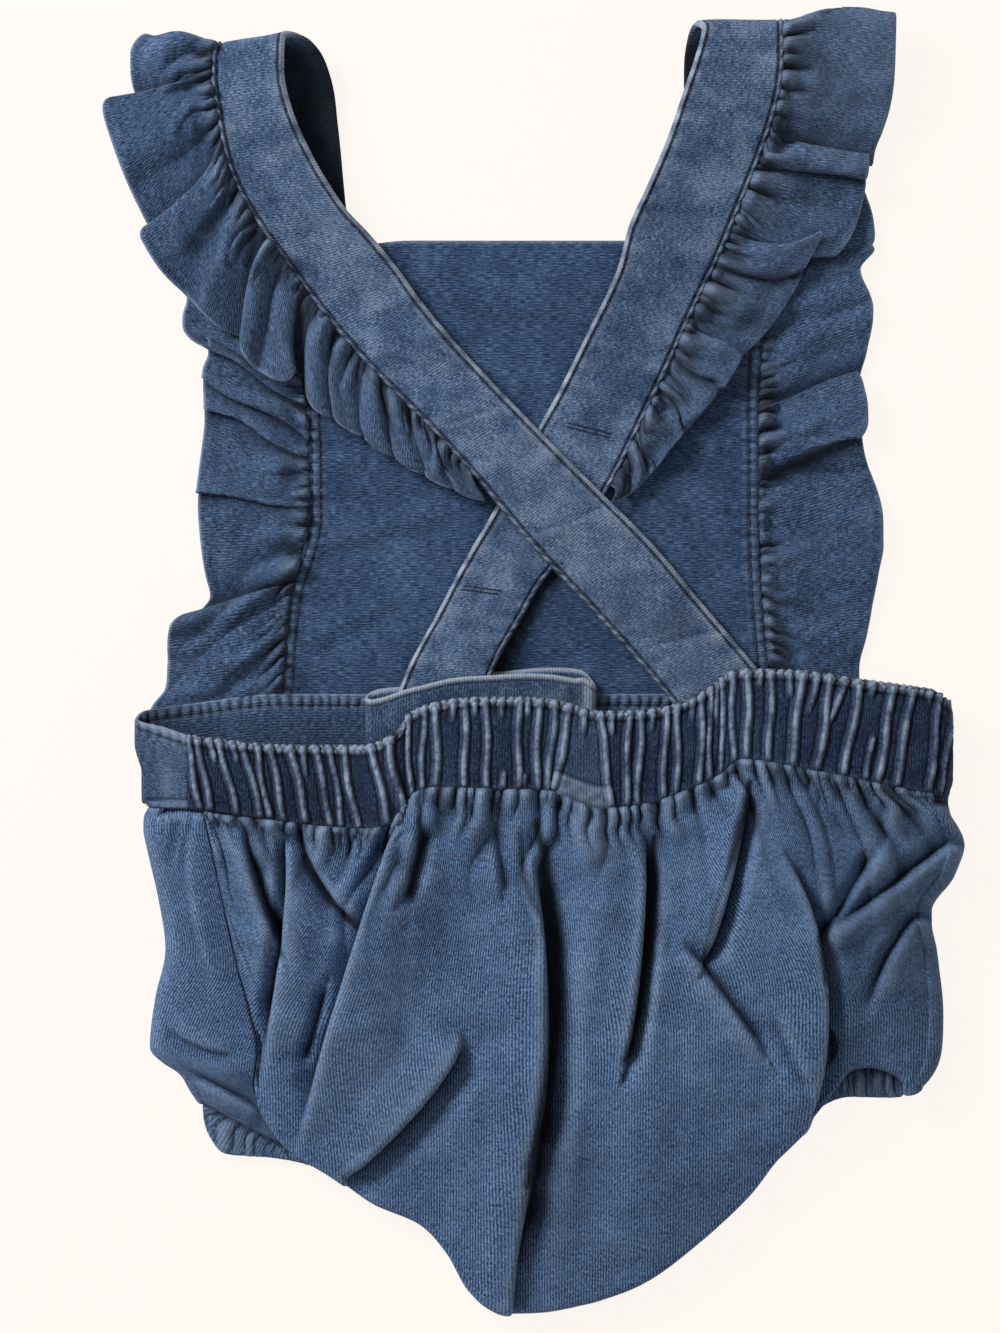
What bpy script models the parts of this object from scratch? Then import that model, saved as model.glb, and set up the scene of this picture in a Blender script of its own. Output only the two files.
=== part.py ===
"""Baby romper in washed knit denim, laid flat on its front with the back upwards.

Every piece that a maker cuts and sews is one wall of cloth.  Its middle surface is
worked out from the tables below, and the wall is that surface moved half a
thickness each way along its normals.

Frame: +X to the right and +Y towards the shoulders of the laid garment, +Z up off
the surface it lies on.  The origin is under the middle of the garment's outline.
All tables are in millimetres.
"""

import bpy
import numpy as np

MM = 0.001

SINGLE = 1.2          # one layer of knit denim
STRAP_THICK = 2.2     # folded strap with its seam allowance
BAND_THICK = 2.0      # front waistband, two layers
ELASTIC_THICK = 1.8   # back waistband between two ribs
RIB_RELIEF = 1.1      # how far a rib stands out of the back waistband
BINDING_THICK = 1.4   # elastic leg binding
SEAM_GAP = 0.4        # clearance between two pieces that are sewn together

RIBS = 44             # shirred ribs on the back waistband
WAIST_GATHERS = 26    # gathers of the seat under the waistband
GATHER_DEPTH = 0.9    # rise and fall of a waist gather
LEG_GATHERS = 12      # gathers on one leg binding
KEEPER_DEPTH = 18.0   # how far the strap keeper runs under the waistband
STRAP_CAMBER = 0.35   # rise of a strap's middle over its edges
PLEAT_RELIEF = 0.55   # relief of the waistband's flat pleats
BAND_BULGE = 0.8      # rise of the back waistband's middle over its edges
BAND_SCALLOP = 0.35   # how far the top edge climbs at a rib, as a share of its relief
BINDING_WAVE = 0.5    # rise and fall of a gather on a leg binding
SIDE_CAMBER = 1.0     # rise of the turned-up side between its fold and its seam

DENIM = (0.066, 0.107, 0.192)
DENIM_DARK = (0.043, 0.076, 0.133)
DENIM_PALE = (0.105, 0.150, 0.235)


def table(columns, rows):
    """Give a table's columns by name."""
    return dict(zip(columns.split(), np.array(rows, dtype=float).T))


# Bib: its two side seams at each height, and its top edge across.
BIB_SIDES = table("y left right", (
    (-8.5, -74.0, 69.5),
    (18.5, -71.5, 67.0),
    (41.5, -65.5, 66.0),
    (76.5, -66.5, 66.0),
    (96.5, -71.0, 67.0),
    (123.0, -75.5, 68.0)))
BIB_TOP = table("x y", (
    (-77.0, 115.3), (-53.5, 120.8), (-36.0, 123.0), (30.0, 123.0), (45.0, 121.6), (69.0, 118.2)))

# Straps: sections from the bib's top corner, over the shoulder fold and down the back.
STRAP_SECTIONS = 52
STRAP_COLUMNS = "outer_x outer_y inner_x inner_y height"
STRAP_LEFT = table(STRAP_COLUMNS, (
    (-76.0, 116.5, -53.5, 121.5, 1.2),
    (-80.5, 134.5, -55.0, 135.5, 1.2),
    (-84.0, 154.5, -57.0, 156.0, 1.4),
    (-87.5, 168.5, -59.0, 170.0, 3.2),
    (-90.0, 174.5, -62.5, 178.0, 5.8),
    (-91.5, 178.0, -67.5, 181.5, 9.0),
    (-92.5, 175.5, -71.5, 181.0, 11.8),
    (-93.0, 169.0, -72.0, 171.5, 12.6),
    (-91.5, 157.5, -70.0, 160.5, 12.2),
    (-88.5, 143.5, -64.0, 146.5, 11.0),
    (-82.5, 131.0, -55.0, 132.0, 9.0),
    (-73.0, 117.0, -47.5, 124.0, 7.0),
    (-64.5, 105.5, -39.5, 114.5, 5.4),
    (-55.0, 93.5, -33.0, 105.5, 4.6),
    (-43.0, 80.5, -23.0, 93.5, 4.4),
    (-30.0, 67.5, -10.5, 80.0, 5.0),
    (-16.0, 52.0, 4.0, 65.0, 5.6),
    (-1.0, 34.0, 19.0, 50.0, 5.6),
    (13.5, 18.5, 35.0, 34.0, 4.4),
    (25.0, 6.0, 48.0, 18.5, 3.9),
    (39.0, -10.5, 64.0, -0.5, 5.0),
    (46.0, -20.0, 72.0, -10.5, 5.8)))
STRAP_RIGHT = table(STRAP_COLUMNS, (
    (68.5, 119.0, 44.5, 122.5, 1.2),
    (69.0, 137.0, 44.5, 137.0, 1.2),
    (70.0, 157.5, 44.0, 157.5, 1.4),
    (71.5, 171.5, 43.5, 171.5, 3.2),
    (72.0, 180.0, 44.0, 179.0, 5.8),
    (72.0, 184.5, 46.0, 184.5, 9.0),
    (72.0, 182.5, 50.0, 183.5, 11.8),
    (72.0, 175.0, 51.5, 176.5, 12.6),
    (71.0, 164.5, 50.5, 166.0, 12.2),
    (66.5, 149.0, 44.5, 153.0, 11.0),
    (59.5, 131.0, 35.0, 137.0, 9.0),
    (53.5, 116.5, 29.5, 126.0, 7.0),
    (47.5, 104.0, 24.0, 114.0, 5.2),
    (40.0, 87.5, 14.5, 94.0, 4.0),
    (32.0, 70.5, 6.0, 77.0, 3.0),
    (23.0, 52.5, -4.0, 59.5, 2.6),
    (12.0, 34.0, -12.0, 44.0, 2.6),
    (3.0, 24.0, -21.0, 28.5, 2.6),
    (-4.0, 12.0, -28.5, 14.0, 3.4),
    (-10.5, 0.5, -36.5, -1.0, 5.2),
    (-14.5, -10.5, -41.0, -13.5, 5.2),
    (-17.0, -21.0, -43.0, -23.0, 5.2)))

# Waistbands: top and bottom edge and height along X.  The front one lies on the
# surface and turns up round the left side; the back one turns down round the right.
WAIST_COLUMNS = "x top bottom height"
FRONT_WAIST = table(WAIST_COLUMNS, (
    (114.0, -10.5, -37.0, 1.0),
    (70.0, -9.0, -35.0, 1.0),
    (0.0, -9.0, -35.0, 1.0),
    (-74.0, -9.0, -35.0, 1.0),
    (-98.0, -11.6, -37.5, 1.0),
    (-111.0, -13.4, -39.8, 1.0),
    (-114.4, -14.2, -40.9, 2.4),
    (-115.4, -15.0, -41.4, 4.7),
    (-114.4, -15.8, -41.8, 7.0),
    (-111.0, -17.0, -42.0, 8.3),
    (-100.4, -21.0, -42.0, 8.5)))
BACK_WAIST = table(WAIST_COLUMNS, (
    (-100.0, -21.0, -42.0, 8.5),
    (-85.5, -23.0, -44.0, 8.0),
    (-68.0, -24.0, -46.5, 8.0),
    (-50.5, -24.0, -48.0, 10.4),
    (-41.0, -21.0, -46.0, 12.6),
    (-36.5, -15.5, -39.5, 10.6),
    (-27.5, -11.5, -36.0, 12.6),
    (-10.0, -10.0, -36.5, 14.2),
    (4.5, -10.5, -37.0, 14.2),
    (19.0, -14.0, -42.0, 12.5),
    (33.5, -13.5, -40.5, 10.5),
    (45.0, -10.5, -36.5, 9.5),
    (53.5, -5.5, -32.5, 9.2),
    (59.5, -2.0, -28.0, 12.5),
    (77.0, -2.5, -30.5, 13.5),
    (94.5, -5.0, -34.0, 13.0),
    (109.0, -7.0, -37.0, 12.0),
    (117.0, -8.2, -38.3, 9.8),
    (120.3, -8.8, -39.0, 6.0),
    (118.5, -9.2, -39.2, 2.6),
    (114.6, -9.4, -39.3, 1.7)))
UPPER_WAIST_ROWS = 18   # rows of the back waistband before it turns down
# Flat pleats of the back waistband, where the ribs stop.
FLAT_PLEATS = table("start end", ((-53.0, -40.5), (6.0, 22.0)))

# Seat (back panel): a column of cloth from the waistband to the leg or crotch edge.
SEAT_COLUMNS = table("top_x foot_x foot_y", (
    (-95.5, -80.0, -122.5),
    (-87.0, -77.0, -130.0),
    (-76.0, -71.0, -140.5),
    (-60.0, -57.0, -149.5),
    (-44.0, -46.5, -156.5),
    (-31.0, -33.0, -162.5),
    (-20.0, -25.0, -171.0),
    (-10.0, -18.5, -182.0),
    (-1.0, -9.0, -188.8),
    (9.0, 4.0, -188.0),
    (19.0, 19.0, -184.5),
    (31.0, 33.5, -178.5),
    (42.0, 48.0, -167.5),
    (53.0, 61.5, -155.0),
    (64.0, 70.5, -143.5),
    (76.0, 80.5, -132.5),
    (87.0, 88.5, -122.5),
    (99.0, 97.5, -117.5),
    (115.2, 111.0, -118.0)))
SEAT_RISE = table("v height", (
    (0.0, 12.6), (0.2, 13.5), (0.5, 14.2), (0.75, 12.8), (0.9, 10.4), (1.0, 8.2)))
RIGHT_OUTLINE = table("y x", (
    (-119.0, 115.5), (-113.5, 117.0), (-103.5, 118.0), (-86.0, 117.0), (-70.0, 115.0),
    (-60.0, 121.5), (-51.5, 124.5), (-44.0, 121.5), (-39.5, 119.8)))
SIDE_SEAM = table("y x", (
    (-125.0, -80.5), (-112.0, -79.0), (-100.5, -81.5), (-86.0, -85.5), (-68.5, -89.5),
    (-50.0, -93.5), (-42.0, -95.5)))
SIDE_SEAM_HEIGHT = 8.3
SIDE_SEAM_GAP = 0.9     # clearance of the side seam, whose two edges tilt
SIDE_TOP = -43.0        # the front panel's turned-up side, top and foot
SIDE_FOOT = -118.0
SEAT_ROLL = 0.93        # share of a column where the cloth starts to roll under
SEAT_TURN = 0.93        # share of the width where the right side turns down
UNDER_HEIGHT = 2.7      # height of the rolled-under edge above the front panel
CROTCH = (-12.0, 13.0)  # X range where the seat meets the front panel on the surface
CROTCH_EASE = 5.0       # run over which the seat's edge comes down to the crotch
SEAT_RIM = 2.6          # how far the rolled foot stands out past its start
SEAT_TUCK = 2.0         # how far the foot runs back under
SIDE_TURN = 4.6         # how far the right side stands out past its start
SIDE_DROP = 1.6         # how much lower the waist edge runs on the turned-down side
SIDE_TOP_HEIGHT = 10.5  # height of the right fold at the waist and at the foot
SIDE_FOOT_HEIGHT = 8.5
GATHER_REACH = 1.6      # half width over which the waist edge keeps clear of the ribs
FOLD_SOFTENING = 2      # passes that round the folds off at the grid's spacing
SEAT_LOWEST = 3.4       # least height of the seat above the surface, in its troughs
FOOT_LIFT = 2.0         # how much higher the rolled-under edge runs at the side seam
CORNER_RUN = 3.0        # how far the turned-down side runs on past the roll
FRONT_INSET = 6.0       # how far the front panel stays inside the right outline

# Folds of the seat: a curve from start over bend to end, its height (troughs are
# negative) and its half widths towards +X and -X.
SEAT_FOLDS = table("x0 y0 x1 y1 x2 y2 height east west", (
    (-86.5, -54.0, -82.5, -70.0, -71.0, -86.0, -5.5, 5, 6),
    (-72.0, -64.0, -73.0, -85.5, -82.5, -124.0, 3.5, 9, 6),
    (-65.5, -53.0, -57.5, -63.0, -48.5, -76.0, -5.0, 7, 8),
    (-35.0, -41.0, -46.0, -71.5, -70.0, -141.0, 6.0, 20, 7),
    (-60.5, -86.0, -65.0, -100.5, -66.5, -115.0, -4.5, 5, 7),
    (-27.5, -48.5, -23.0, -68.5, -18.5, -97.5, -3.0, 8, 8),
    (-17.0, -97.5, -23.0, -115.0, -55.5, -148.0, 3.5, 8, 16),
    (-1.0, -46.0, 5.0, -93.5, -9.0, -188.5, -8.0, 6, 8),
    (17.5, -45.5, 19.0, -77.5, 15.0, -115.0, 4.0, 9, 8),
    (30.5, -46.0, 32.5, -77.5, 25.5, -109.5, -7.5, 6, 6),
    (7.5, -132.5, 10.5, -155.5, 7.5, -180.0, 2.0, 12, 9),
    (68.5, -47.0, 57.0, -60.0, 48.0, -86.0, -6.5, 7, 7),
    (40.0, -78.5, 49.5, -90.5, 65.5, -112.0, -4.0, 8, 7),
    (48.0, -100.5, 59.5, -121.0, 61.0, -147.0, 2.5, 10, 9),
    (68.0, -51.0, 80.5, -79.0, 84.0, -115.0, 5.0, 6, 14),
    (84.0, -112.0, 81.5, -122.0, 77.0, -131.0, 3.0, 6, 8),
    (98.0, -57.5, 90.0, -68.0, 82.0, -81.0, -3.0, 6, 6),
    (122.0, -53.0, 100.5, -66.5, 86.0, -83.0, -5.0, 7, 7),
    (113.5, -65.0, 99.5, -74.0, 88.0, -93.5, 3.0, 7, 7),
    (112.0, -76.0, 104.0, -86.0, 97.5, -102.0, -3.0, 7, 6)))

# Front panel: left outline of the laid garment and the edges at the legs and crotch.
LEFT_OUTLINE = table("y x", (
    (-124.0, -99.0), (-119.0, -106.5), (-111.0, -111.0), (-97.5, -109.5), (-83.0, -106.5),
    (-68.5, -108.5), (-54.0, -112.0), (-42.0, -114.0)))
FRONT_COLUMNS = table("top_x top_y foot_x foot_y", (
    (113.5, -37.9, 110.5, -112.5),
    (104.0, -37.3, 101.5, -113.8),
    (92.0, -36.8, 91.0, -115.4),
    (78.0, -36.0, 80.0, -121.5),
    (62.0, -35.4, 68.0, -131.0),
    (46.0, -35.4, 49.0, -144.5),
    (32.0, -35.4, 33.0, -159.0),
    (20.0, -35.4, 20.5, -175.0),
    (10.0, -35.4, 13.0, -180.0),
    (0.0, -35.4, 2.0, -181.8),
    (-11.0, -35.4, -11.0, -181.0),
    (-20.0, -35.4, -18.0, -173.0),
    (-28.0, -35.4, -30.5, -157.0),
    (-42.0, -35.4, -43.0, -147.5),
    (-56.0, -35.4, -59.0, -142.0),
    (-72.0, -35.4, -73.0, -135.5),
    (-90.0, -37.0, -86.0, -127.5),
    (-108.0, -39.8, -101.0, -119.5)))

# Leg bindings: the gathered front edge of each leg opening, panel side and free side.
BINDING_COLUMNS = "inner_x inner_y outer_x outer_y height"
BINDING_LEFT = table(BINDING_COLUMNS, (
    (-104.5, -118.8, -103.5, -120.6, 1.9),
    (-101.0, -120.2, -101.0, -124.5, 1.9),
    (-96.5, -122.8, -95.0, -132.5, 1.8),
    (-91.0, -125.8, -88.5, -141.5, 1.6),
    (-84.0, -129.3, -80.0, -143.5, 1.3),
    (-73.0, -136.2, -71.0, -144.5, 0.9),
    (-59.0, -142.7, -60.5, -148.0, 0.8),
    (-43.0, -148.2, -45.0, -153.8, 0.8),
    (-31.0, -157.6, -33.5, -161.2, 0.8),
    (-24.0, -167.5, -27.0, -169.3, 0.8),
    (-19.4, -174.6, -21.2, -177.6, 0.8)))
BINDING_RIGHT = table(BINDING_COLUMNS, (
    (21.6, -176.8, 25.0, -178.6, 0.8),
    (34.3, -161.0, 37.5, -166.0, 0.8),
    (50.0, -146.2, 54.5, -152.0, 0.8),
    (69.0, -132.7, 73.0, -138.5, 0.8),
    (81.0, -123.2, 84.5, -128.8, 0.9),
    (91.8, -117.2, 93.0, -126.3, 1.2),
    (101.0, -116.0, 101.5, -126.5, 1.3),
    (105.5, -115.4, 107.5, -125.0, 1.2),
    (107.5, -115.0, 109.4, -121.0, 0.9)))

# Strap keeper: top edge of the flattened loop that the right strap runs through.
KEEPER_TOP = table("x y", (
    (-48.5, -8.8), (-39.0, -7.2), (-27.5, -6.0), (-10.0, -4.0), (7.5, -2.8), (17.5, -3.4)))
KEEPER_LOW = 3.1
KEEPER_HIGH = 7.3

# Ruffles: one row a lobe, from the waist up the bib, over the shoulder and down the
# strap.  `along` is the distance on the seam, the lobe's hem runs from its raised
# ridge to its tail, which tucks under the next ridge, and `gathers` gathers feed it.
RUFFLE_COLUMNS = "along ridge_x ridge_y ridge_z tail_x tail_y tail_z gathers"
RUFFLE_LEFT = table(RUFFLE_COLUMNS, (
    (0, -110.0, -12.4, 1.2, -107.5, 4.0, 1.0, 2),
    (19, -107.0, 10.0, 7.0, -94.5, 23.0, 1.4, 2),
    (31, -94.0, 26.0, 2.6, -95.0, 41.5, 1.2, 2),
    (51, -97.5, 49.0, 6.0, -96.5, 60.5, 1.4, 2),
    (67, -95.5, 64.0, 2.4, -95.5, 71.0, 1.2, 1),
    (74, -96.0, 74.5, 5.0, -96.5, 80.0, 1.2, 2),
    (86, -97.0, 83.5, 2.8, -95.5, 90.0, 1.0, 1),
    (94, -94.5, 92.5, 1.8, -101.5, 100.0, 0.9, 2),
    (106, -102.5, 102.5, 1.5, -104.0, 114.0, 0.8, 2),
    (123, -105.0, 117.5, 1.4, -111.5, 133.0, 0.8, 2),
    (145, -112.5, 136.0, 1.4, -115.0, 151.5, 0.8, 2),
    (163, -115.5, 154.0, 1.4, -116.0, 164.0, 1.2, 2),
    (179, -116.5, 168.0, 2.2, -110.5, 180.0, 4.4, 2),
    (192, -109.5, 182.6, 6.2, -114.5, 172.0, 8.4, 2),
    (201, -124.5, 160.0, 10.0, -112.0, 128.0, 4.8, 5),
    (222, -113.5, 123.5, 8.6, -105.5, 113.5, 4.6, 3),
    (239, -105.0, 111.5, 6.4, -88.0, 96.5, 4.6, 4),
    (259, -84.5, 90.0, 8.0, -76.5, 83.0, 5.4, 2),
    (272, -73.5, 81.5, 7.0, -69.5, 80.0, 4.2, 2),
    (281, -64.5, 75.0, 7.2, -59.0, 71.5, 4.4, 2),
    (293, -57.5, 70.5, 7.0, -51.5, 66.5, 4.4, 2),
    (303, -50.0, 65.5, 6.6, -44.0, 62.5, 4.4, 2),
    (312, -42.0, 62.0, 6.2, -36.0, 58.0, 4.5, 2),
    (322, -33.5, 57.5, 6.2, -27.5, 54.0, 4.7, 2),
    (333, -25.0, 53.5, 6.0, -18.0, 49.5, 5.2, 2)))
RUFFLE_LEFT_END = 346.0
RUFFLE_RIGHT = table(RUFFLE_COLUMNS, (
    (0, 95.0, -8.4, 1.3, 98.5, 14.0, 1.0, 3),
    (27, 100.0, 19.0, 4.4, 101.5, 32.5, 1.2, 2),
    (41, 101.5, 36.0, 2.4, 100.0, 44.5, 1.2, 1),
    (50, 99.0, 47.5, 4.8, 94.5, 58.0, 1.2, 2),
    (65, 95.0, 61.0, 1.8, 94.5, 64.0, 1.0, 1),
    (70, 95.0, 66.0, 5.6, 94.5, 82.0, 2.8, 3),
    (87, 95.0, 84.5, 2.2, 97.5, 92.0, 1.4, 2),
    (100, 98.0, 95.0, 3.6, 96.5, 109.5, 1.2, 3),
    (119, 95.0, 114.5, 1.6, 99.0, 119.0, 1.2, 1),
    (125, 98.5, 121.5, 1.8, 97.5, 133.0, 1.0, 2),
    (143, 96.5, 136.0, 1.5, 98.0, 151.5, 0.8, 2),
    (163, 98.5, 154.0, 1.5, 102.5, 168.0, 1.0, 2),
    (176, 103.0, 171.5, 2.4, 104.0, 185.0, 4.2, 2),
    (193, 104.0, 188.4, 6.4, 103.6, 186.8, 8.2, 2),
    (203, 103.2, 184.5, 9.2, 98.0, 150.0, 5.2, 6),
    (232, 97.0, 147.5, 8.8, 96.5, 140.5, 7.4, 2),
    (243, 95.5, 137.5, 6.6, 87.5, 118.5, 4.8, 3),
    (259, 83.0, 122.5, 8.4, 78.0, 114.0, 6.2, 2),
    (268, 76.5, 110.0, 6.0, 61.0, 91.5, 4.4, 3),
    (287, 59.5, 89.0, 7.2, 55.0, 81.0, 5.6, 2),
    (298, 53.5, 79.0, 5.4, 45.0, 69.5, 4.2, 2),
    (309, 43.0, 67.0, 6.0, 40.0, 64.0, 5.0, 1),
    (318, 39.0, 62.5, 4.8, 34.0, 57.0, 3.8, 2),
    (328, 33.0, 54.5, 4.4, 28.5, 49.5, 3.4, 2)))
RUFFLE_RIGHT_END = 343.0
RUFFLE_SPREAD = (0.0, 0.13, 0.36, 0.67, 1.0)   # rows of the ruffle from seam to hem
RUFFLE_TUCK = 0.88      # share of a lobe's seam that its hem uses before the tuck
RUFFLE_GATHER = 0.45    # rise and fall of a gather at the seam
RUFFLE_SEAM_DROP = 0.3  # how far the ruffle's seam lies under the strap's middle
RUFFLE_CURL = 0.12      # rise of a lobe between seam and hem, as a share of its height


def smooth_through(keys, values, at):
    """Read a smooth curve through rows of keys and values without overshoot."""
    step = np.diff(keys)
    slope = np.diff(values) / step
    tangent = np.zeros(len(keys))
    tangent[1:-1] = np.where(slope[1:] * slope[:-1] > 0, (slope[1:] + slope[:-1]) / 2, 0)
    tangent[0], tangent[-1] = slope[0], slope[-1]
    limit = 3 * np.minimum(np.abs(np.r_[slope[0], slope]), np.abs(np.r_[slope, slope[-1]]))
    tangent = np.clip(tangent, -limit, limit)
    at = np.clip(at, keys[0], keys[-1])
    row = np.clip(np.searchsorted(keys, at, side="right") - 1, 0, len(step) - 1)
    t = (at - keys[row]) / step[row]
    return ((1 + 2 * t) * (1 - t) ** 2 * values[row] + t * (1 - t) ** 2 * step[row] * tangent[row]
            + t * t * (3 - 2 * t) * values[row + 1] - t * t * (1 - t) * step[row] * tangent[row + 1])


def ease(value, start=0.0, end=1.0):
    """Smooth step from 0 at start to 1 at end."""
    t = np.clip((np.asarray(value, dtype=float) - start) / (end - start), 0, 1)
    return t * t * (3 - 2 * t)


def arc_lengths(*coordinates):
    """Distance along a line of points, from its first point."""
    steps = np.sqrt(sum(np.diff(values) ** 2 for values in coordinates))
    return np.r_[0, np.cumsum(steps)]


def normals_of(middle, closed):
    """Unit normals of a grid of points; closed grids join their last column to the first."""
    if closed:
        across = np.roll(middle, -1, axis=1) - np.roll(middle, 1, axis=1)
    else:
        across = np.gradient(middle, axis=1)
    down = np.gradient(middle, axis=0)
    normal = np.cross(down, across)
    return normal / np.maximum(np.linalg.norm(normal, axis=2, keepdims=True), 1e-9)


def denim(name, colour):
    """Plain washed denim in one colour."""
    material = bpy.data.materials.new(name)
    material.use_nodes = True
    shader = material.node_tree.nodes["Principled BSDF"]
    shader.inputs["Base Color"].default_value = (*colour, 1.0)
    shader.inputs["Roughness"].default_value = 0.9
    shader.inputs["Metallic"].default_value = 0.0
    material.diffuse_color = (*colour, 1.0)
    return material


def cloth_wall(name, middle, thickness, colour, relief=0.0, closed=False):
    """Make one closed wall of cloth round a grid of middle points.

    The rows run down the piece and the columns across it, so that the normals
    point out of the garment.  Relief raises the outer points only.
    """
    rows, columns = middle.shape[:2]
    normal = normals_of(middle, closed)
    raised = np.broadcast_to(np.asarray(relief, dtype=float), (rows, columns))[..., None]
    outer = middle + normal * (thickness / 2 + raised)
    inner = middle - normal * (thickness / 2)
    points = np.concatenate((outer.reshape(-1, 3), inner.reshape(-1, 3)))
    points[:, 2] = np.maximum(points[:, 2], 0.0)
    count = rows * columns

    def at(row, column, side=0):
        return side * count + row * columns + column % columns

    spans = columns if closed else columns - 1
    faces = []
    for r in range(rows - 1):
        for c in range(spans):
            faces.append((at(r, c), at(r + 1, c), at(r + 1, c + 1), at(r, c + 1)))
            faces.append((at(r, c, 1), at(r, c + 1, 1), at(r + 1, c + 1, 1), at(r + 1, c, 1)))
    for c in range(spans):
        faces.append((at(0, c), at(0, c + 1), at(0, c + 1, 1), at(0, c, 1)))
        last = rows - 1
        faces.append((at(last, c + 1), at(last, c), at(last, c, 1), at(last, c + 1, 1)))
    if not closed:
        for r in range(rows - 1):
            last = columns - 1
            faces.append((at(r + 1, 0), at(r, 0), at(r, 0, 1), at(r + 1, 0, 1)))
            faces.append((at(r, last), at(r + 1, last), at(r + 1, last, 1), at(r, last, 1)))
    mesh = bpy.data.meshes.new(name)
    mesh.from_pydata((points * MM).tolist(), [], faces)
    mesh.validate()
    mesh.shade_smooth()
    mesh.materials.append(denim(name + "_denim", colour))
    piece = bpy.data.objects.new(name, mesh)
    bpy.context.scene.collection.objects.link(piece)
    return piece


def stack(x, y, z):
    """Join three coordinate grids into one grid of points."""
    return np.stack(np.broadcast_arrays(x, y, z), axis=2).astype(float)


def bib():
    """Bib, lying on its outer face between the front waistband and the straps."""
    across = np.linspace(0, 1, 11)
    down = np.linspace(0, 1, 9)[:, None]
    foot = BIB_SIDES["y"][0]
    side_top = [np.interp(BIB_SIDES[side][-1], BIB_TOP["x"], BIB_TOP["y"]) for side in ("left", "right")]
    height = np.interp(across, (0, 1), side_top)
    y = height + (foot - height) * down
    left = smooth_through(BIB_SIDES["y"], BIB_SIDES["left"], y)
    right = smooth_through(BIB_SIDES["y"], BIB_SIDES["right"], y)
    x = left + (right - left) * across
    top = smooth_through(BIB_TOP["x"], BIB_TOP["y"], x)
    y = y + (top - height) * (1 - down) ** 2
    return cloth_wall("bib", stack(x, y, SINGLE / 2), SINGLE, DENIM_DARK)


def strap_sections(rows, count):
    """Outer and inner edge of a strap at evenly spaced sections."""
    centre = [(rows["outer_" + axis] + rows["inner_" + axis]) / 2 for axis in "xy"]
    along = arc_lengths(*centre, rows["height"])
    at = np.linspace(0, along[-1], count)
    height = smooth_through(along, rows["height"], at)
    edges = []
    for side in ("outer", "inner"):
        x = smooth_through(along, rows[side + "_x"], at)
        y = smooth_through(along, rows[side + "_y"], at)
        edges.append(np.stack((x, y, height), axis=1))
    return edges


def strap(name, rows, outer_is_left):
    """One strap, flat along the front, folded at the shoulder and flat down the back."""
    outer, inner = strap_sections(rows, STRAP_SECTIONS)
    left, right = (outer, inner) if outer_is_left else (inner, outer)
    across = np.linspace(0, 1, 4)
    middle = left[:, None] + (right - left)[:, None] * across[None, :, None]
    middle[..., 2] += STRAP_CAMBER * np.sin(np.pi * across)
    return cloth_wall(name, middle, STRAP_THICK, DENIM_PALE)


def waist_path(rows, count_at):
    """Edges and height of a waistband at given shares of its length."""
    along = arc_lengths(rows["x"], rows["height"])
    at = along[-1] * count_at
    return {key: smooth_through(along, rows[key], at) for key in rows}


def front_waistband():
    """Front waistband, flat on the surface and turned up round the left side."""
    share = np.linspace(0, 1, 33)
    path = waist_path(FRONT_WAIST, share)
    down = np.linspace(0, 1, 4)[:, None]
    y = path["top"] + (path["bottom"] - path["top"]) * down
    return cloth_wall("front_waistband", stack(path["x"], y, path["height"]), BAND_THICK, DENIM)


def back_waistband():
    """Elastic back waistband: ribs raised on the outer side of a plain inside."""
    steps = 3 * RIBS
    share = np.linspace(0, 1, steps + 1)
    path = waist_path(BACK_WAIST, share)
    rib = np.where(np.arange(steps + 1) % 3 == 0, 0.0, RIB_RELIEF)
    for start, end in zip(FLAT_PLEATS["start"], FLAT_PLEATS["end"]):
        flat = (path["x"] > start) & (path["x"] < end)
        rib = np.where(flat, PLEAT_RELIEF, rib)
    down = np.array((0.0, 0.14, 0.86, 1.0))[:, None]
    y = path["top"] + (path["bottom"] - path["top"]) * down
    y = y + BAND_SCALLOP * rib * (1 - ease(down, 0, 0.2))
    z = path["height"] + BAND_BULGE * np.sin(np.pi * down) * ease(path["height"], 4, 9)
    relief = rib * np.sin(np.pi * np.clip(down, 0.08, 0.92)) ** 0.4
    return cloth_wall("back_waistband", stack(path["x"], y, z), ELASTIC_THICK, DENIM, relief)


def fold_field(folds, x, y):
    """Height that a table of folds adds at plan points x, y."""
    total = np.zeros(np.shape(x))
    t = np.linspace(0, 1, 25)
    for x0, y0, x1, y1, x2, y2, height, east, west in zip(*folds.values()):
        curve_x = (1 - t) ** 2 * x0 + 2 * t * (1 - t) * (2 * x1 - (x0 + x2) / 2) + t * t * x2
        curve_y = (1 - t) ** 2 * y0 + 2 * t * (1 - t) * (2 * y1 - (y0 + y2) / 2) + t * t * y2
        away_x = x[..., None] - curve_x
        away_y = y[..., None] - curve_y
        nearest = np.argmin(away_x ** 2 + away_y ** 2, axis=-1)
        pick = nearest[..., None]
        dx = np.take_along_axis(away_x, pick, -1)[..., 0]
        dy = np.take_along_axis(away_y, pick, -1)[..., 0]
        run_x = np.gradient(curve_x)[nearest]
        run_y = np.gradient(curve_y)[nearest]
        width = np.where(dx * run_y - dy * run_x < 0, east, west)
        near = np.clip(1 - (dx ** 2 + dy ** 2) / width ** 2, 0, 1) ** 2
        fade = ease(t[nearest], -0.12, 0.12) * (1 - ease(t[nearest], 0.75, 1.05))
        total += height * near * fade
    return total


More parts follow.
